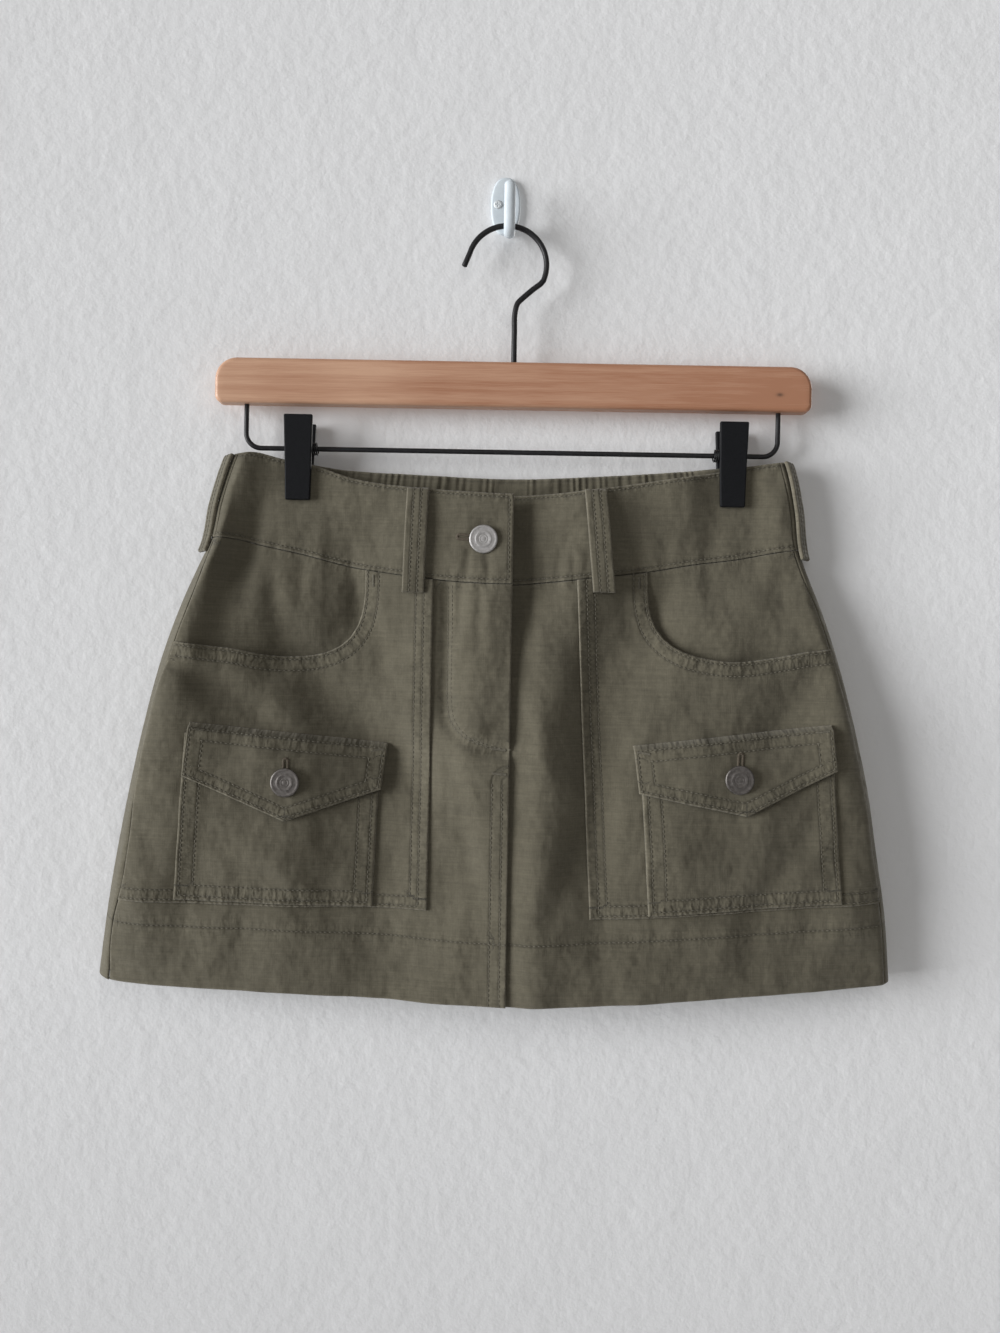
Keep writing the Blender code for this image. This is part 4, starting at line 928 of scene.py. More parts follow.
# name, two colours, least and most roughness, scale of the grain, relief in metres, metallic, specular
for row in (
        ("thread", (0.085, 0.077, 0.056), (0.15, 0.137, 0.105), (0.7, 0.9), 900.0, 0.00005),
        ("buttonhole_thread", (0.07, 0.057, 0.04), (0.13, 0.106, 0.078), (0.7, 0.9), 900.0, 0.00005),
        ("black_steel", (0.007, 0.007, 0.008), (0.014, 0.014, 0.016), (0.35, 0.5), 700.0, 0.00001, 0.0, 0.3),
        ("black_plastic", (0.004, 0.0044, 0.0056), (0.009, 0.0096, 0.0115), (0.5, 0.65), 1500.0, 0.00004,
         0.0, 0.14),
        ("white_plastic", (0.56, 0.62, 0.67), (0.63, 0.69, 0.73), (0.45, 0.6), 150.0, 0.00002, 0.0, 0.35),
        ("steel", (0.62, 0.65, 0.67), (0.7, 0.73, 0.75), (0.5, 0.65), 900.0, 0.00002, 0.3),
        ("pewter", (0.37, 0.36, 0.355), (0.5, 0.49, 0.485), (0.5, 0.66), 700.0, 0.00006, 1.0),
        ("dark_pewter", (0.12, 0.11, 0.103), (0.2, 0.186, 0.178), (0.42, 0.6), 700.0, 0.00006, 1.0)):
    MATERIALS[row[0]] = grained(*row)


# Front of the skirt


def border(x, z, which, start=0, stop=None):
    """A border of a grid as a line of (x, z)."""
    pick = {"first": (0, slice(start, stop)), "last": (-1, slice(start, stop)),
            "top": (slice(start, stop), 0), "bottom": (slice(start, stop), -1)}[which]
    return np.stack((x[pick], z[pick]), -1)


def edges_of(x, z, rows):
    """Edges of a grid, from rows of: border, roll, seams, puckered band, pucker, wear."""
    return [Edge(border(x, z, *which), (x.mean(), z.mean()), *rest) for which, *rest in rows]


def add_front_piece(name, x, z, surface, edges, depth, flat, **settings):
    """A cloth piece on an elevation grid, with its inner face behind by a depth that its sewing decides."""
    sewing = Sewing(x, z, edges)
    outer = np.stack((x, surface(x, z) + sewing.drop, z), -1)
    inner = outer + np.stack((0.0 * x, depth(sewing), 0.0 * x), -1)
    add_shell(name, outer, inner, sewing, flat, **settings)
    return f"stitches_{name}"


def sewn_down(sewing):
    """Depth of an overlay's inner face, which comes nearer to the cloth below at a sewn edge."""
    return OVERLAY_WALL + SEWN_DOWN * np.exp(-(sewing.nearest / SEWN_REACH) ** 2) - sewing.drop


def mouth_line(side):
    """Height of a scoop mouth's edge: level at the side seam and round down from the waist seam."""
    waist = through(BAND_SEAM_FRONT, -SEAM_GAP)

    def mouth(x):
        along = np.clip((MOUTH_START[side] - x) * INWARD[side] / MOUTH_WIDTH, 0.0, 1.0)
        corner = (1.0 - (1.0 - along) ** MOUTH_CORNER) ** (1.0 / MOUTH_CORNER)
        return waist(x) - MOUTH_DROP[side] * corner + MOUTH_SIDE_RISE * along ** 4
    return mouth


def steep_columns():
    """Shares of the scoop's steep first stretch, so that its edge falls by even steps."""
    whole = 1.0 - (1.0 - MOUTH_STEEP / MOUTH_WIDTH) ** MOUTH_CORNER
    corner = np.linspace(0.12, whole ** (1.0 / MOUTH_CORNER), 16)
    along = 1.0 - (1.0 - corner ** MOUTH_CORNER) ** (1.0 / MOUTH_CORNER)
    return np.concatenate(([0.0], along * MOUTH_WIDTH / MOUTH_STEEP))


def utility_uprights(side):
    mouth, inward = MOUTH_START[side], INWARD[side]
    return (through(UTILITY_INNER[side]), lambda z: mouth, lambda z: mouth - MOUTH_STEEP * inward,
            lambda z: SEAM_X[side](z) + SEAM_GAP * inward)


def add_front_panel(side):
    """Elevation grid from the front edge to the side seam and from the waist seam to the hem."""
    right = side == "right"
    uprights = (lambda z: FRONT_EDGE_X,) + utility_uprights(side)
    across = (steps(41.0, 2.6), steps(MOUTH_STEEP, 1.7), steps(100.0, 1.7, (), SEAM_STEPS))
    if right:
        surface, across = draped_y, joined(steps(47.0, 1.2, ROLL), *across)
    else:
        surface, across = lower_y, joined(steps(24.0, 3.0), steps(47.0, 1.2), *across)
        uprights = (lap_edge_x,) + uprights
    x, z = elevation_grid(uprights, across, (through(BAND_SEAM_FRONT, -SEAM_GAP), through(HEM_FRONT)),
                          steps(245.0, 1.7, (0.2, 0.5, 1.0), ROLL))
    edges = edges_of(x, z, (
        (("top",), 0.6, (), 3.0, 0.45, 0.1),
        (("bottom",), 1.1, (HEM_TURNING,), 6.0, 0.0, 0.35),
        (("last",), 0.5, (), 3.0, 0.4, 0.4),
        (("first",), 1.1, (), 5.0, 0.25, 0.6))[:4 if right else 3])
    hem, inside = edges[1], edges[1].inward
    if right:
        low = border(x, z, "first")
        low = Edge(low[low[:, 1] < TOPSTITCHED_BELOW], inside, 0.0, (4.0, 10.0), 7.0, 0.5, 0.0, 1)
        edges += [low, Edge(FLY_LINE, (-10.0, -260.0), 0.0, (0.0,), 5.0, 0.55, 0.0, 2)]
    hem_line = hem.inset(HEM_TURNING)
    edges.append(Edge(hem_line, inside, 0.0, (), 4.0, 0.35, 0.0))

    def face(x, z):
        return surface(x, z) + behind_mouth(side, x, z) + (fly_ditch(x, z) if right else 0.0)
    in_hem = smoothstep((HEM_TURNING + 0.5 - distance_to(hem.line, x, z)[0]) / 2.0)
    wall = PANEL_WALL + (HEM_WALL - PANEL_WALL) * in_hem
    stitches = add_front_piece(f"front_{side}_panel", x, z, face, edges, lambda sewing: wall - sewing.drop,
                               DECLARED["front_panel"])
    sew(stitches, evened(hem_line, 1.0), face)
    if right:
        for seam in low.seams:
            sew(stitches, evened(low.inset(seam), 1.0), face)
        fly = smooth_path(FLY_LINE, PATH_STEPS)
        sew(stitches, evened(fly, 1.0), face)
        sew(stitches, evened(fly + (2.4, 0.6), 1.0), face)
        tack(stitches, (-4.0, -311.0), (3.6, -311.8), 1.8, face)
        tack(stitches, (-3.6, -325.0), (4.2, -325.6), 1.8, face)


def add_utility(side):
    """Elevation grid whose rows draw together under the scoop mouth and whose columns crowd at its corner."""
    waist, hem = through(BAND_SEAM_FRONT, -SEAM_GAP), through(HEM_FRONT)
    levels = (mouth_line(side), lambda x: waist(x) + (hem(x) - waist(x)) * FULL_ROW,
              through(UTILITY_BOTTOM[side]))
    across = joined(steps(41.0, 1.25, ROLL, ROLL), steep_columns(), steps(100.0, 1.25, (), SEAM_STEPS))
    x, z = elevation_grid(utility_uprights(side), across, levels,
                          joined(steps(70.0, 1.3), steps(122.0, 1.3, (), ROLL)))
    edges = edges_of(x, z, (
        (("first",), 1.2, (5.5, 10.2), 8.0, 0.75, 0.75),
        (("top", int(np.searchsorted(across, 1.0))), 1.2, (1.8, 8.5), 7.0, 1.0, 0.6),
        (("bottom",), 1.2, (2.0, 7.6), 6.5, 0.9, 0.55),
        (("last",), 0.6, (), 3.0, 0.3, 0.4)))
    stitches = add_front_piece(f"utility_panel_{side}", x, z, utility_y, edges, sewn_down,
                               DECLARED["utility_panel"], rests_on=(f"front_{side}_panel",))
    sew_edges(stitches, edges, utility_y)
    start = MOUTH_START[side] + INWARD[side] * 5.0
    top = float(curve_through(BAND_SEAM_FRONT, start)) - 2.5
    tack(stitches, (start, top), (start, top - TACK_LENGTH), 1.7, utility_y)


def add_pocket(side):
    """Elevation grid between a cargo pocket's four corners."""
    outer_top, inner_top, inner_bottom, outer_bottom = POCKET[side]
    surface = pocket_y(side)
    uprights = (upright(outer_top, outer_bottom), upright(inner_top, inner_bottom))
    levels = (straight((outer_top, inner_top)), straight((outer_bottom, inner_bottom)))
    x, z = elevation_grid(uprights, steps(113.0, 1.1, ROLL, ROLL), levels, steps(96.0, 1.1, (0.3, 0.8), ROLL))
    edges = edges_of(x, z, (
        (("first",), 1.2, (2.6, 10.5), 7.5, 0.7, 0.5),
        (("last",), 1.2, (3.4, 10.8), 7.5, 0.7, 0.5),
        (("bottom",), 1.2, (2.6, 8.8), 7.0, 1.1, 0.5)))
    stitches = add_front_piece(f"cargo_pocket_{side}", x, z, surface, edges, sewn_down,
                               DECLARED["cargo_pocket"], rests_on=(f"utility_panel_{side}",))
    sew_edges(stitches, edges, surface)


def add_flap(side):
    """Elevation grid under a flap's top edge, whose columns meet the point of its bottom edge."""
    outer_top, inner_top, inner_bottom, point, outer_bottom = FLAP[side]
    surface = flap_y(side)
    uprights = (upright(outer_top, outer_bottom), lambda z: point[0], upright(inner_top, inner_bottom))
    levels = (straight((outer_top, inner_top)), straight((outer_bottom, point, inner_bottom)))
    across = joined(steps(57.0, 1.0, ROLL), steps(57.0, 1.0, (), ROLL))
    x, z = elevation_grid(uprights, across, levels, steps(36.0, 0.8, ROLL, ROLL))
    middle = int(np.searchsorted(across, 1.0))
    edges = edges_of(x, z, (
        (("first",), 1.1, (1.9, 9.5), 5.0, 0.5, 0.5),
        (("last",), 1.1, (1.9, 9.5), 5.0, 0.5, 0.5),
        (("top",), 1.1, (3.2, 9.6), 6.5, 0.75, 0.6),
        (("bottom", 0, middle + 1), 1.1, (1.9, 7.4), 5.5, 0.9, 0.6),
        (("bottom", middle), 1.1, (1.9, 7.4), 5.5, 0.9, 0.6)))
    stitches = add_front_piece(
        f"pocket_flap_{side}", x, z, surface, edges, lambda sewing: FLAP_WALL - sewing.drop,
        DECLARED["pocket_flap"], rests_on=(f"cargo_pocket_{side}",))
    sew_edges(stitches, edges, surface)
    for (corner_x, corner_z), way in ((outer_top, INWARD[side]), (inner_top, -INWARD[side])):
        tack(stitches, (corner_x + way * 2.2, corner_z - 3.4), (corner_x + way * 9.0, corner_z - 4.2), 1.5,
             surface)
    buttonhole(f"buttonhole_flap_{side}", *FLAP_HOLES[side], surface)


def band_y(x, z):
    return draped_y(x, z) - BAND_PROUD


def lower_band_y(x, z):
    return lower_y(x, z) - BAND_PROUD


def add_front_bands():
    for side, surface, across, uprights, end in (
            ("right", band_y, steps(168.0, 1.1, (0.3, 0.8), ROLL),
             (lambda z: right_band_seam_x(z) + SEAM_GAP, lambda z: FRONT_EDGE_X), "last"),
            ("left", lower_band_y, joined(steps(34.0, 2.5), steps(165.0, 1.1, (), (0.3, 0.8))),
             (lap_edge_x, lambda z: FRONT_EDGE_X, lambda z: left_band_seam_x(z) - SEAM_GAP), "first")):
        x, z = elevation_grid(uprights, across, (through(BAND_TOP_FRONT), through(BAND_SEAM_FRONT)),
                              steps(54.0, 1.1, ROLL, ROLL))
        edges = edges_of(x, z, (
            (("top",), 1.1, (2.0,), 3.5, 0.7, 0.55),
            (("bottom",), 0.9, (2.4,), 3.5, 0.7, 0.3),
            ((end,), 1.1, (2.6,), 6.0, 0.0, 0.55)))
        stitches = add_front_piece(f"waistband_front_{side}", x, z, surface, edges,
                                   lambda sewing: BAND_WALL - 2.0 * sewing.drop,
                                   DECLARED["waistband_front"], stride=(3, 3))
        sew_edges(stitches, edges, surface)
    buttonhole("buttonhole_waist", *WAIST_HOLE, band_y)


# Back of the skirt


def fold_stations(side, seam, lines, share):
    """Stations round a side fold, from the seam on the front to the start of the flat back.

    side is -1 for the left fold as seen, 1 for the right one. Returns x and the angle of the outward
    normal: 90 degrees faces the viewer, 0 points out at the side and -90 faces the wall.
    """
    z = MIDDLE_Z
    for _ in range(GRID_ROUNDS):
        z = lines[0](seam(z)) + (lines[1](seam(z)) - lines[0](seam(z))) * share
    edge, radius = outline(LEFT if side < 0 else RIGHT, z), outline(FOLD_RADIUS, z)
    wrap = abs(seam(z) - edge)
    seam_angle = np.arccos(np.clip((radius - wrap) / radius, 0.0, 1.0))
    arc_start = seam_angle * (0.55 + 0.45 * smoothstep((wrap / radius - 1.0) / 0.4))
    arc = arc_start + (-math.pi / 2 - arc_start) * np.linspace(0.0, 1.0, FOLD_STATIONS)
    x = edge - side * radius * (1.0 - np.cos(arc))
    front = np.linspace(0.0, 1.0, 5)[:-1]
    start_x = seam(z) + (x[0] - seam(z)) * front
    start_angle = seam_angle + (arc_start - seam_angle) * front
    return np.concatenate((start_x, x)), np.concatenate((start_angle, arc))


def wrapped_row(share, front_lines, back_lines, seams, flats, lift, wave):
    """One row round the back: outer points, normals and the distance run along the cloth."""
    x_left, a_left = fold_stations(-1.0, seams[0], front_lines, share)
    x_right, a_right = fold_stations(1.0, seams[1], front_lines, share)
    flat = x_left[-1] + (x_right[-1] - x_left[-1]) * flats
    x = np.concatenate((x_left, flat, x_right[::-1]))
    angle = np.concatenate((a_left, np.full(len(flat), -math.pi / 2), a_right[::-1]))
    outward = np.where(x < 0.0, -1.0, 1.0)
    normal = np.stack((outward * np.cos(angle), -np.sin(angle), 0.0 * x), -1)
    normal[0] = normal[-1] = (0.0, -1.0, 0.0)
    on_front = angle > 0.0
    top = np.where(on_front, front_lines[0](x), back_lines[0](x))
    bottom = np.where(on_front, front_lines[1](x), back_lines[1](x))
    z = top + (bottom - top) * share
    y = np.where(on_front, front_y(x, z), back_y(x, z))
    inset = np.minimum(x - x_left[-1], x_right[-1] - x)
    place = np.clip((x - x_left[-1]) / (x_right[-1] - x_left[-1]), 0.0, 1.0)
    ripple = np.where(angle < -1.5, wave(x, z, place, share) * smoothstep(inset / SIDE_FADE), 0.0)
    return np.stack((x, y, z), -1) + normal * (lift + ripple)[:, None], normal


def beside_patch(x):
    """0 on the flat patch under the centre back loop, 1 where the cloth is gathered."""
    return smoothstep((np.abs(x - FLAT_PATCH_X) - FLAT_PATCH_HALF) / PATCH_FADE)


def gathers(x, z, place, count, height):
    """Ripples of elastic gathers, uneven in width and height."""
    warp = (place + 0.0042 * np.sin(37.0 * place + 1.0) + 0.0018 * np.sin(91.0 * place)
            + 0.0007 * np.sin(233.0 * place))
    uneven = (0.6 + 0.25 * np.sin(53.0 * place + 0.6 * np.sin(17.0 * place))
              + 0.22 * np.sin(149.0 * place + 2.0))
    slow = 0.5 * np.sin(math.pi * 0.42 * count * place + 2.0 * np.sin(9.0 * place))
    ripple = np.cos(2 * math.pi * count * warp) * uneven + slow
    return ripple * height * beside_patch(x) * (1.0 - pinch(x, z))


def add_wrapped(name, shares, walls, rolled, stride, seams_at, **shape):
    """A cloth piece made of rows that run round the back from one front seam to the other."""
    rows = [wrapped_row(share, **shape) for share in shares]
    outer = np.stack([points for points, _ in rows], 1)
    normal = np.stack([normal for _, normal in rows], 1)
    run = np.cumsum(np.concatenate((np.zeros((1, outer.shape[1])),
                                    np.linalg.norm(np.diff(outer, axis=0), axis=-1))), 0)
    run = run - run[-1:] / 2
    z = outer[..., 2]
    edges = [Edge(border(run, z, which), (0.0, inward_z), roll, seams, wear=wear, group=group)
             for which, inward_z, roll, seams, wear, group in (
                 ("top", -300.0, rolled, seams_at[0], 0.45, 0),
                 ("bottom", -100.0, rolled, seams_at[1], 0.35, 0),
                 ("first", -300.0, 0.5, (), 0.4, 1), ("last", -300.0, 0.5, (), 0.4, 1))]
    sewing = Sewing(run, z, edges)
    inner = outer - normal * (walls - sewing.drop)[..., None]
    outer = outer - normal * sewing.drop[..., None]
    add_shell(name, outer, inner, sewing, DECLARED[name], held="gathered", stride=stride)


def add_back():
    shares = steps(262.0, 2.3, (0.2, 0.6, 1.2), ROLL)
    walls = np.where(shares > HEM_SHARE, HEM_WALL, PANEL_WALL)[None]
    add_wrapped(
        "back_panel", shares, walls, 1.0, (3, 4), ((), (HEM_TURNING,)),
        front_lines=(through(BAND_SEAM_FRONT, -SEAM_GAP), through(HEM_FRONT)),
        back_lines=(through(BAND_SEAM_BACK, -SEAM_GAP), through(HEM_BACK)),
        seams=(right_seam_x, left_seam_x), flats=np.linspace(0.0, 1.0, PANEL_STATIONS)[1:-1], lift=0.0,
        wave=lambda x, z, place, share: gathers(x, z, place, PANEL_GATHERS,
                                                PANEL_GATHER_HEIGHT * (1.0 - share) ** 1.5))
    shares = steps(52.0, 2.0, ROLL, ROLL)
    add_wrapped(
        "waistband_back", shares, np.full((1, len(shares)), BAND_WALL), 1.1, (1, 3), ((2.0,), (2.4,)),
        front_lines=(through(BAND_TOP_FRONT), through(BAND_SEAM_FRONT)),
        back_lines=(through(BAND_TOP_BACK), through(BAND_SEAM_BACK)),
        seams=(right_band_seam_x, left_band_seam_x), flats=np.linspace(0.0, 1.0, BAND_STATIONS)[1:-1],
        lift=BAND_PROUD, wave=lambda x, z, place, share: gathers(x, z, place, BACK_GATHERS, GATHER_HEIGHT))


# Belt loops


def add_strip(name, path, across, rests_on="waistband_back"):
    """A belt loop of doubled cloth: path holds its inner face's middle line, across its half width."""
    normal = unit(np.cross(np.gradient(path, axis=0), across))
    half = np.linalg.norm(across)
    run = run_along(path)
    place = steps(2 * half, 0.7, ROLL[:5], ROLL[:5]) * 2.0 - 1.0
    u, v = np.meshgrid(place * half, -run, indexing="ij")
    edges = [Edge(border(u, v, which), (0.0, -20.0), rolled, seams, wear=wear)
             for which, rolled, seams, wear in (
                 ("first", 1.0, (LOOP_SEAM,), 0.6), ("last", 1.0, (LOOP_SEAM,), 0.6),
                 ("top", 0.9, (), 0.5), ("bottom", 0.9, (), 0.5))]
    sewing = Sewing(u, v, edges)
    base = path[None] + across * place[:, None, None]
    outer = base + normal[None] * (LOOP_WALL - sewing.drop)[..., None]
    add_shell(name, outer, base, sewing, (LOOP_CUT_WIDTH, run[-1] + LOOP_CUT_SPARE), stride=(3, 3),
              rests_on=(rests_on,))
    SEWN.setdefault("stitches_belt_loops", []).extend(
        line_stitches(path + across * (offset / half) + normal * (LOOP_WALL + 0.1), normal)
        for offset in (-half + LOOP_SEAM, half - LOOP_SEAM))


def line_stitches(centre, normal):
    """Rings round the stitches along a line in space whose outward normals are given."""
    run = run_along(centre)
    count = max(1, int(run[-1] / STITCH_PITCH))
    at = (np.arange(count)[:, None] + FIRST_STITCH + THREAD_PLACES * STITCH_SHARE) * run[-1] / count
    place, up = read_along(centre, run, at), unit(read_along(normal, run, at))
    along = unit(place[:, -1:] - place[:, :1])
    return thread_rings(place + up * THREAD_DIP[None, :, None], along, up)


def add_loops():
    share = np.linspace(0.0, 1.0, 49)
    half = LOOP_WIDTH / 2

    def on_band(x, lines, below):
        """Heights down a loop from just under the band's top to below its seam."""
        top, bottom = curve_through(lines[0], x) - 0.6, curve_through(lines[1], x) - below
        return top + (bottom - top) * share
    for side, (x_top, x_bottom) in FRONT_LOOPS.items():
        surface = band_y if side == "right" else lower_band_y
        x = x_top + (x_bottom - x_top) * share
        z = on_band(x, (BAND_TOP_FRONT, BAND_SEAM_FRONT), LOOP_BELOW_SEAM)
        nearest = np.min([surface(x + shift, z) for shift in (-half, 0.0, half)], axis=0)
        y = nearest - curve_through(FRONT_LOOP_STANDOFF, share)
        add_strip(f"belt_loop_front_{side}", np.stack((x, y, z), -1), np.array((half, 0.0, 0.0)),
                  f"waistband_front_{side}")
    x = np.full(len(share), FLAT_PATCH_X)
    z = on_band(x, (BAND_TOP_BACK, BAND_SEAM_BACK), 2.0)
    near = np.max([back_y(x + shift, z) for shift in (-half, half)], axis=0)
    y = near + BAND_PROUD + curve_through(BACK_LOOP_STANDOFF, share)
    add_strip("belt_loop_back", np.stack((x, y, z), -1), np.array((-half, 0.0, 0.0)))
    offset, rise = smooth_path(SIDE_LOOP_PATH, PATH_STEPS).T
    turn = math.radians(SIDE_LOOP_TURN)
    for side, column, end in (("right", LEFT, -161.0), ("left", RIGHT, 170.0)):
        outward = -INWARD[side]
        z = curve_through(BAND_TOP_FRONT, end) + rise
        reach = SIDE_LOOP_NEAR + (offset - SIDE_LOOP_NEAR) * SIDE_LOOP_REACH[side]
        x = outline(column, z) + outward * (BAND_PROUD + reach)
        across = half * np.array((math.sin(turn), outward * math.cos(turn), 0.0))
        add_strip(f"belt_loop_side_{side}", np.stack((x, np.full(len(x), HANGER_Y), z), -1), across)


# Hard pieces


def arc(centre, radius, start, end, count):
    angles = np.radians(np.linspace(start, end, count + 1))
    return [(centre[0] + radius * math.cos(a), centre[1] + radius * math.sin(a)) for a in angles]


def smooth_path(points, count):
    """A smooth path through a few points, with the same number of steps between each two."""
    points = np.array(points, float)
    run = run_along(points)
    at = np.concatenate([np.linspace(a, b, count, endpoint=False) for a, b in zip(run, run[1:])] + [run[-1:]])
    return np.stack([curve_through(np.stack((run, column), -1), at) for column in points.T], -1)


def tube_mesh(name, path, radius, sides=20, widening=1.0, dome_length=0.5):
    """A round wire: circles carried along a path without twist, closed by domed ends, and widened along x."""
    tangent = unit(np.gradient(path, axis=0))
    dome = np.radians((90.0, 60.0, 30.0))
    reach = (np.sin(dome) * radius * dome_length)[:, None]
    head, tail = path[:1] - tangent[:1] * reach, path[-1:] + tangent[-1:] * reach[::-1]
    radii = np.concatenate((np.cos(dome) * radius, np.full(len(path), radius), np.cos(dome[::-1]) * radius))
    radii = np.maximum(radii, radius * 0.08)
    path = np.concatenate((head, path, tail))
    tangent = np.concatenate((np.repeat(tangent[:1], 3, 0), tangent, np.repeat(tangent[-1:], 3, 0)))
    up = np.empty_like(path)
    vector = np.array((0.0, -1.0, 0.0)) if abs(tangent[0][1]) < 0.9 else np.array((1.0, 0.0, 0.0))
    for i, direction in enumerate(tangent):
        vector = vector - direction * np.dot(vector, direction)
        vector = vector / np.linalg.norm(vector)
        up[i] = vector
    side = np.cross(tangent, up)
    angle = turns(sides)
    ring = np.cos(angle)[None, :, None] * up[:, None] + np.sin(angle)[None, :, None] * side[:, None]
    points = path[:, None] + ring * radii[:, None, None] * np.array((widening, 1.0, 1.0))
    return make_mesh(name, points, tube_faces(len(path), sides))


def cross_slot(across, up, rise):
    """Sinks the driver's cross into a turned head."""
    near_arm = np.minimum(np.abs(across), np.abs(up)) < SLOT_HALF
    inside = near_arm & (np.hypot(across, up) < SLOT_REACH) & (rise > SLOT_DEPTH)
    return rise - SLOT_DEPTH * inside


def turned_mesh(name, profile, place, facing, sides=64, carve=None):
    """A profile of radius and height turned round an axis: facing "y" looks at the viewer, "x" along x."""
    radius, height = np.asarray(profile, float).T
    angle = turns(sides)
    flat_a, flat_b = radius[:, None] * np.cos(angle), radius[:, None] * np.sin(angle)
    rise = np.repeat(height[:, None], sides, 1)
    if carve:
        rise = carve(flat_a, flat_b, rise)
    order = (flat_a, -rise, flat_b) if facing == "y" else (rise, flat_a, flat_b)
    points = np.stack(order, -1) + np.asarray(place, float)
    if profile[0] != profile[-1]:
        return make_mesh(name, points, tube_faces(len(profile), sides))
    grid = np.arange((len(profile) - 1) * sides).reshape(-1, sides)
    grid = np.concatenate((grid, grid[:1]), 0)
    return make_mesh(name, points[:-1], [quads(np.concatenate((grid, grid[:, :1]), 1))])


SLOT_HALF, SLOT_REACH, SLOT_DEPTH = 0.3, 1.45, 0.45
SCREW_HEAD = ((0.05, 0.8), (0.2, 0.8), (0.4, 0.8), (0.6, 0.79), (0.8, 0.78), (1.0, 0.77), (1.2, 0.75),
              (1.4, 0.73), (1.5, 0.71), (1.9, 0.64), (2.3, 0.5), (2.55, 0.3), (2.6, 0.15), (2.6, 0.0),
              (0.05, 0.0))
BUTTON_FACE = (
    (0.05, 2.28), (1.4, 2.28), (1.6, 2.18), (1.8, 2.28), (2.6, 2.3), (2.8, 2.2), (3.0, 2.3), (4.2, 2.4),
    (4.5, 2.42), (4.75, 2.36), (5.0, 2.26), (5.2, 2.22), (6.4, 2.22), (6.8, 2.25), (7.1, 2.32), (7.4, 2.36),
    (7.8, 2.32), (8.15, 2.16), (8.36, 1.88), (8.4, 1.6), (8.3, 1.28), (8.1, 1.12), (5.0, 0.98), (3.2, 0.9),
    (3.05, 0.7), (3.0, 0.0), (0.05, 0.0))


def add_button(name, place, surface, finish):
    x, z = place
    ring = turns(12)
    under_rim, under_shank = (np.min(surface(x + radius * np.cos(ring), z + radius * np.sin(ring)))
                              for radius in (BUTTON_RADIUS, SHANK_RADIUS))
    y = min(under_rim + RIM_LIFT, under_shank) - 0.1
    add_hard(name, "turned", turned_mesh(name, BUTTON_FACE, (x, y, z), "y"), finish)


def lift_to(line, y):
    """A line of (x, z) points at one depth."""
    x, z = np.array(line).T
    return np.stack((x, np.full(len(x), y), z), -1)


def rounded_plate(name, rim, thickness, middle, edge):
    """A plate seen from the front: rings of its outline, drawn in round both rims by an amount.

    rim gives the outline drawn in by a distance, as (x, z) points; edge is how far the rounding goes in
    and how deep it is.
    """
    angle = np.linspace(0.0, math.pi / 2, 7)
    inward, deep = edge[0] * (1.0 - np.sin(angle)), edge[1] * (1.0 - np.cos(angle))
    rings = [(edge[0] * 2.5, middle - thickness / 2)]
    rings += [(inset, middle - thickness / 2 + depth) for inset, depth in zip(inward, deep)]
    rings += [(inset, middle + thickness / 2 - depth) for inset, depth in zip(inward[::-1], deep[::-1])]
    rings += [(edge[0] * 2.5, middle + thickness / 2)]
    points = np.stack([lift_to(rim(inset), y) for inset, y in rings])
    return make_mesh(name, points, tube_faces(*points.shape[:2]))


def bar_rim(inset):
    top, bottom = BAR_TOP_CORNER, BAR_BOTTOM_CORNER
    return (arc((BAR_LEFT + top, BAR_TOP - top), top - inset, 180, 90, 14)
            + arc((BAR_RIGHT - top, BAR_TOP - top), top - inset, 90, 0, 14)
            + arc((BAR_RIGHT - bottom, BAR_BOTTOM + bottom), max(bottom - inset, 0.3), 0, -90, 8)
            + arc((BAR_LEFT + bottom, BAR_BOTTOM + bottom), max(bottom - inset, 0.3), -90, -180, 8))


def plate_rim(inset):
    wide, high = PLATE_WIDTH / 2 - inset, PLATE_HEIGHT / 2 - inset
    return [(-SEAT[0] + wide * math.copysign(abs(math.cos(a)) ** 0.8, math.cos(a)),
             -SEAT[2] + high * math.copysign(abs(math.sin(a)) ** 0.9, math.sin(a))) for a in turns(64)[::-1]]


def add_hanger():
    add_hard("hanger_bar", "wood", rounded_plate("hanger_bar", bar_rim, BAR_THICKNESS, HANGER_Y, (2.4, 2.2)),
             "beech")
    hook = smooth_path([HOOK_TIP] + arc((0.0, HOOK_CENTRE_Z), HOOK_RADIUS, HOOK_START, HOOK_END, 30)
                       + list(HOOK_STEM) + [(HOOK_STEM[-1][0], BAR_TOP + SEAM_GAP)], 3)
    add_piece("hanger_hook_rod", tube_mesh("hanger_hook", lift_to(hook, HANGER_Y), WIRE_RADIUS),
              "black_steel", ("hanger_hook_wire",))
    corner = RAIL_CORNER
    rail = ([(RAIL_LEFT, BAR_BOTTOM - SEAM_GAP), (RAIL_LEFT, BAR_BOTTOM - 8.0)]
            + arc((RAIL_LEFT + corner, RAIL_Z + corner), corner, 180, 270, 12)
            + arc((RAIL_RIGHT - corner, RAIL_Z + corner), corner, 270, 360, 12)
            + [(RAIL_RIGHT, BAR_BOTTOM - 8.0), (RAIL_RIGHT, BAR_BOTTOM - SEAM_GAP)])
    mesh = tube_mesh("clip_rail", lift_to(rail, HANGER_Y), RAIL_RADIUS, 16)
    add_hard("clip_rail", "rod", mesh, "black_steel")


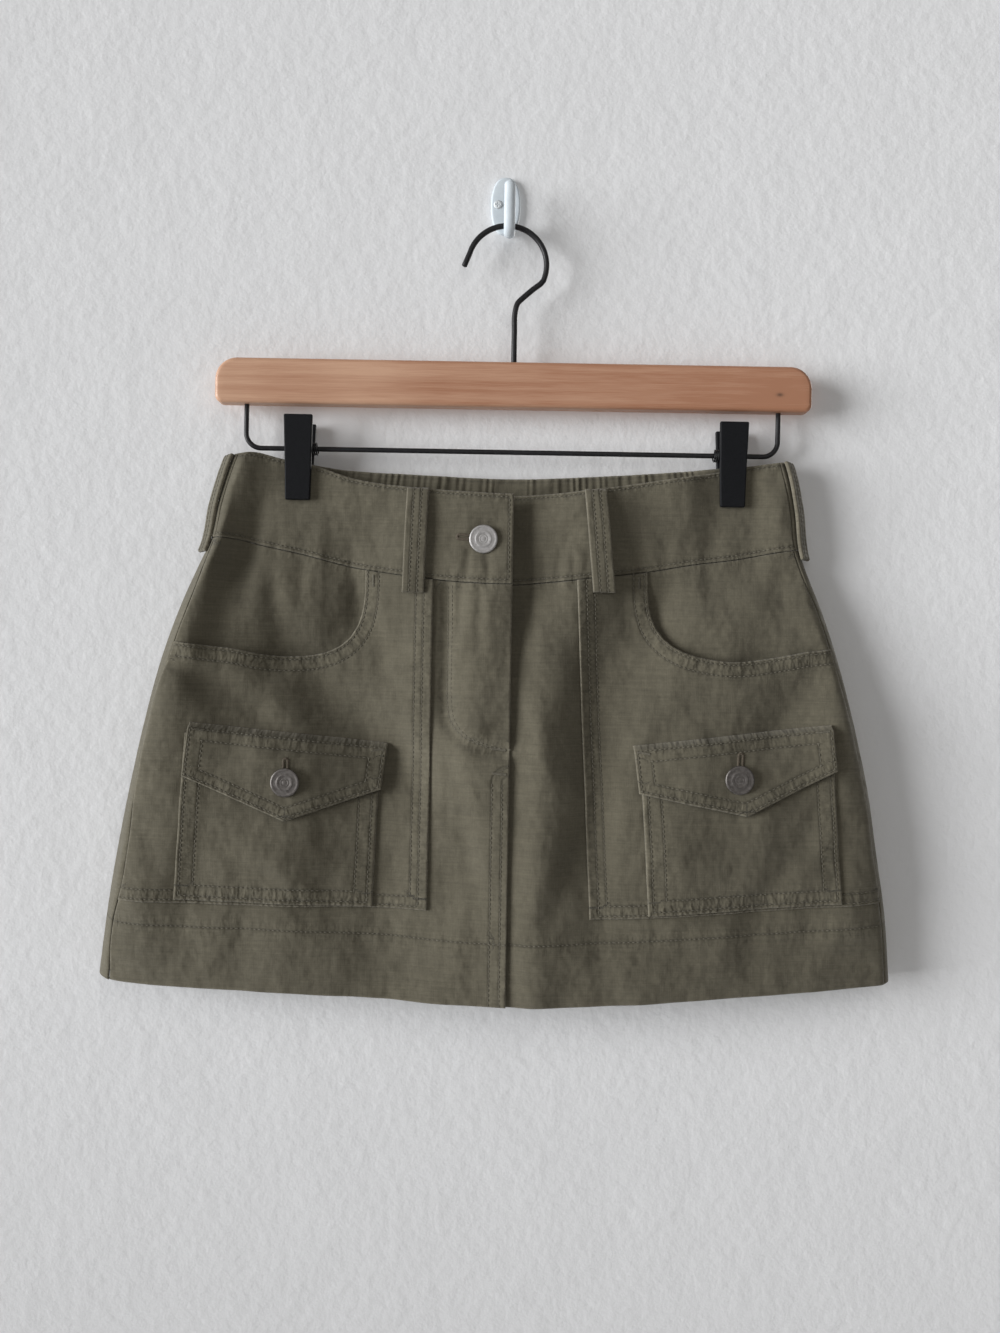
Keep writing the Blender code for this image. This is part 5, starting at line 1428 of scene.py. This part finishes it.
def add_jaw(name, x, profile, facing):
    """One side of a clip: its side view made as wide as it is at each height, with rounded edges."""
    depth, z = np.array(profile).T
    half = np.interp(z, (CLIP_BOTTOM_Z, CLIP_TOP_Z), (CLIP_WIDTH / 2, CLIP_TOP_WIDTH / 2))
    count = len(profile)
    sides = [np.stack((x + end * half, HANGER_Y + facing * depth, z), -1) for end in (-1.0, 1.0)]
    ring = np.arange(count)
    after = (ring + 1) % count
    walls = np.stack((ring, after, count + after, count + ring), -1)
    mesh = make_mesh(name, np.concatenate(sides), [walls, np.stack((ring[::-1], ring + count))])
    bevel = add_hard(name, "moulded", mesh, "black_plastic").modifiers.new("rounded_edges", "BEVEL")
    bevel.width, bevel.segments, bevel.limit_method = 0.9 * MM, 3, "ANGLE"
    bevel.angle_limit = math.radians(40.0)
    bevel.harden_normals = True


SPRING_TURNS, SPRING_PITCH, SPRING_RADIUS, SPRING_WIRE = 3, 1.1, 3.4, 0.45


def add_clips():
    """Jaws and barrels, and the ends of the coiled springs that stand out round the rail beside them."""
    bore, half = RAIL_RADIUS + SEAM_GAP, BARREL_LENGTH / 2
    barrel = ((BARREL_RADIUS - 0.5, half), (BARREL_RADIUS, half - 0.5), (BARREL_RADIUS, 0.5 - half),
              (BARREL_RADIUS - 0.5, -half), (bore, -half), (bore, half), (BARREL_RADIUS - 0.5, half))
    back_jaw = [(depth, z - BACK_JAW_TOP_DROP * (z == CLIP_TOP_Z)) for depth, z in JAW]
    clips = tuple(zip(INWARD.items(), CLIP_X))
    for (side, _), x in clips:
        add_jaw(f"clip_front_jaw_{side}", x, JAW, -1.0)
        add_jaw(f"clip_back_jaw_{side}", x, back_jaw, 1.0)
        mesh = turned_mesh(f"clip_barrel_{side}", barrel, (x, HANGER_Y, RAIL_Z), "x", 28)
        add_hard(f"clip_barrel_{side}", "moulded", mesh, "black_plastic")
    turn = np.linspace(0.0, 2 * math.pi * SPRING_TURNS, 24 * SPRING_TURNS)
    for (side, inward), x in clips:
        along = x + inward * (BARREL_LENGTH / 2 + 1.0 + SPRING_PITCH * turn / (2 * math.pi))
        y, z = HANGER_Y + SPRING_RADIUS * np.cos(turn), RAIL_Z + SPRING_RADIUS * np.sin(turn)
        mesh = tube_mesh(f"clip_spring_{side}", np.stack((along, y, z), -1), SPRING_WIRE, 8)
        add_piece(f"clip_spring_{side}_coil", mesh, "black_steel")


def add_wall_hook():
    mesh = rounded_plate("wall_hook_plate", plate_rim, PLATE_THICKNESS, -PLATE_THICKNESS / 2, (1.4, 1.2))
    add_hard("wall_hook_plate", "moulded", mesh, "white_plastic")
    y, z = smooth_path(ARM_PATH, 6).T
    path = np.stack((np.full(len(y), ARM_X), y, z), -1)
    mesh = tube_mesh("wall_hook_arm", path, ARM_RADIUS, 24, ARM_WIDENING, 0.9)
    add_hard("wall_hook_arm", "moulded", mesh, "white_plastic")
    mesh = turned_mesh("wall_hook_screw", SCREW_HEAD, (SCREW[0], -PLATE_THICKNESS - 0.05, SCREW[1]), "y", 48,
                       cross_slot)
    add_hard("wall_hook_screw", "turned", mesh, "steel")


# Stage, light and camera


def flat_stage(name, corners, material):
    mesh = bpy.data.meshes.new(name)
    mesh.from_pydata(corners, [], [(0, 1, 2, 3)])
    thing = bpy.data.objects.new(name, mesh)
    bpy.context.scene.collection.objects.link(thing)
    mesh.materials.append(material)


def plaster_material(name, colour, see_through):
    """Plaster: fine lumps on broad ones. The wall is open from behind and to the lamp behind it."""
    material, tree, shader = new_tree(name)
    place = object_place(tree)
    broad = place.noise(22.0)
    connect(shader, {
        "Base Color": broad.ramp(0.3, 0.7, 0.0, 1.0).mix((*[c * 0.985 for c in colour], 1.0), (*colour, 1.0)),
        "Normal": (place.noise(120.0, 3.0, 0.55) * 0.0012 + broad * 0.0015).bump(0.5), "Roughness": 0.85})
    if see_through:
        behind = Value(node(tree, "ShaderNodeNewGeometry"), "Backfacing")
        shadow = Value(node(tree, "ShaderNodeLightPath"), "Is Shadow Ray")
        clear = Value(node(tree, "ShaderNodeBsdfTransparent"))
        mixed = behind.into("ShaderNodeMixShader", {
            0: behind.maths("MAXIMUM", shadow), 1: Value(shader), 2: clear})
        connect(tree.nodes["Material Output"], {"Surface": mixed})
    return material


def corners_of(low, high):
    return (-STAGE_HALF, low), (STAGE_HALF, low), (STAGE_HALF, high), (-STAGE_HALF, high)


def add_stage():
    wall = plaster_material("plaster", (0.735, 0.74, 0.753), True)
    flat_stage("wall", [(x, WALL_Y, z) for x, z in corners_of(FLOOR_Z, STAGE_TOP)], wall)
    floor = plaster_material("floor_finish", (0.7, 0.7, 0.7), False)
    flat_stage("floor", [(x, y, FLOOR_Z) for x, y in corners_of(STAGE_FRONT, WALL_Y)], floor)


def add_lamp(name, kind, place, power, colour, **settings):
    """A lamp that shines from its place towards the middle of the skirt."""
    data = bpy.data.lights.new(name, kind)
    data.energy, data.color = power, colour
    for key, value in settings.items():
        setattr(data, key, value)
    lamp = bpy.data.objects.new(name, data)
    bpy.context.scene.collection.objects.link(lamp)
    lamp.location = place
    lamp.rotation_euler = (Vector(LAMPS_AIM) - Vector(place)).to_track_quat("-Z", "Y").to_euler()


def add_lights():
    """A wide window low on the left, the room in front, and a lamp behind the wall for the hidden side."""
    add_lamp("window", "SUN", (-3.5, -1.5, -0.1), 4.25, (0.985, 0.993, 1.0), angle=math.radians(34.0))
    add_lamp("room", "AREA", (0.4, -2.2, 0.8), 9.0, WARM, shape="DISK", size=2.0)
    add_lamp("behind", "AREA", (0.9, 1.2, 0.3), 14.0, WARM, shape="DISK", size=0.8)
    world = bpy.data.worlds.new("room_light")
    bpy.context.scene.world = world
    world.use_nodes = True
    connect(world.node_tree.nodes["Background"], {"Color": (1.0, 0.97, 0.93, 1.0), "Strength": 0.14})


def add_camera():
    data = bpy.data.cameras.new("camera")
    data.sensor_fit = "HORIZONTAL"
    data.angle = 2 * math.atan(CAMERA_HALF_WIDTH / CAMERA_DISTANCE)
    data.clip_start, data.clip_end = 0.01, 20.0
    camera = bpy.data.objects.new("camera", data)
    bpy.context.scene.collection.objects.link(camera)
    camera.location = CAMERA_PLACE
    camera.rotation_mode = "XYZ"
    camera.rotation_euler = (math.pi / 2, math.radians(CAMERA_ROLL), 0.0)
    bpy.context.scene.camera = camera


def main():
    for side in INWARD:
        add_front_panel(side)
        add_utility(side)
        add_pocket(side)
        add_flap(side)
    add_front_bands()
    add_back()
    add_loops()
    add_stitches()
    add_button("waist_button", WAIST_BUTTON, band_y, "pewter")
    for side, place in FLAP_BUTTONS.items():
        add_button(f"flap_button_{side}", place, flap_y(side), "dark_pewter")
    add_hanger()
    add_clips()
    add_wall_hook()
    add_stage()
    add_lights()
    add_camera()
    scene = bpy.context.scene
    scene.view_settings.view_transform = "Standard"
    scene.view_settings.look = "None"


main()
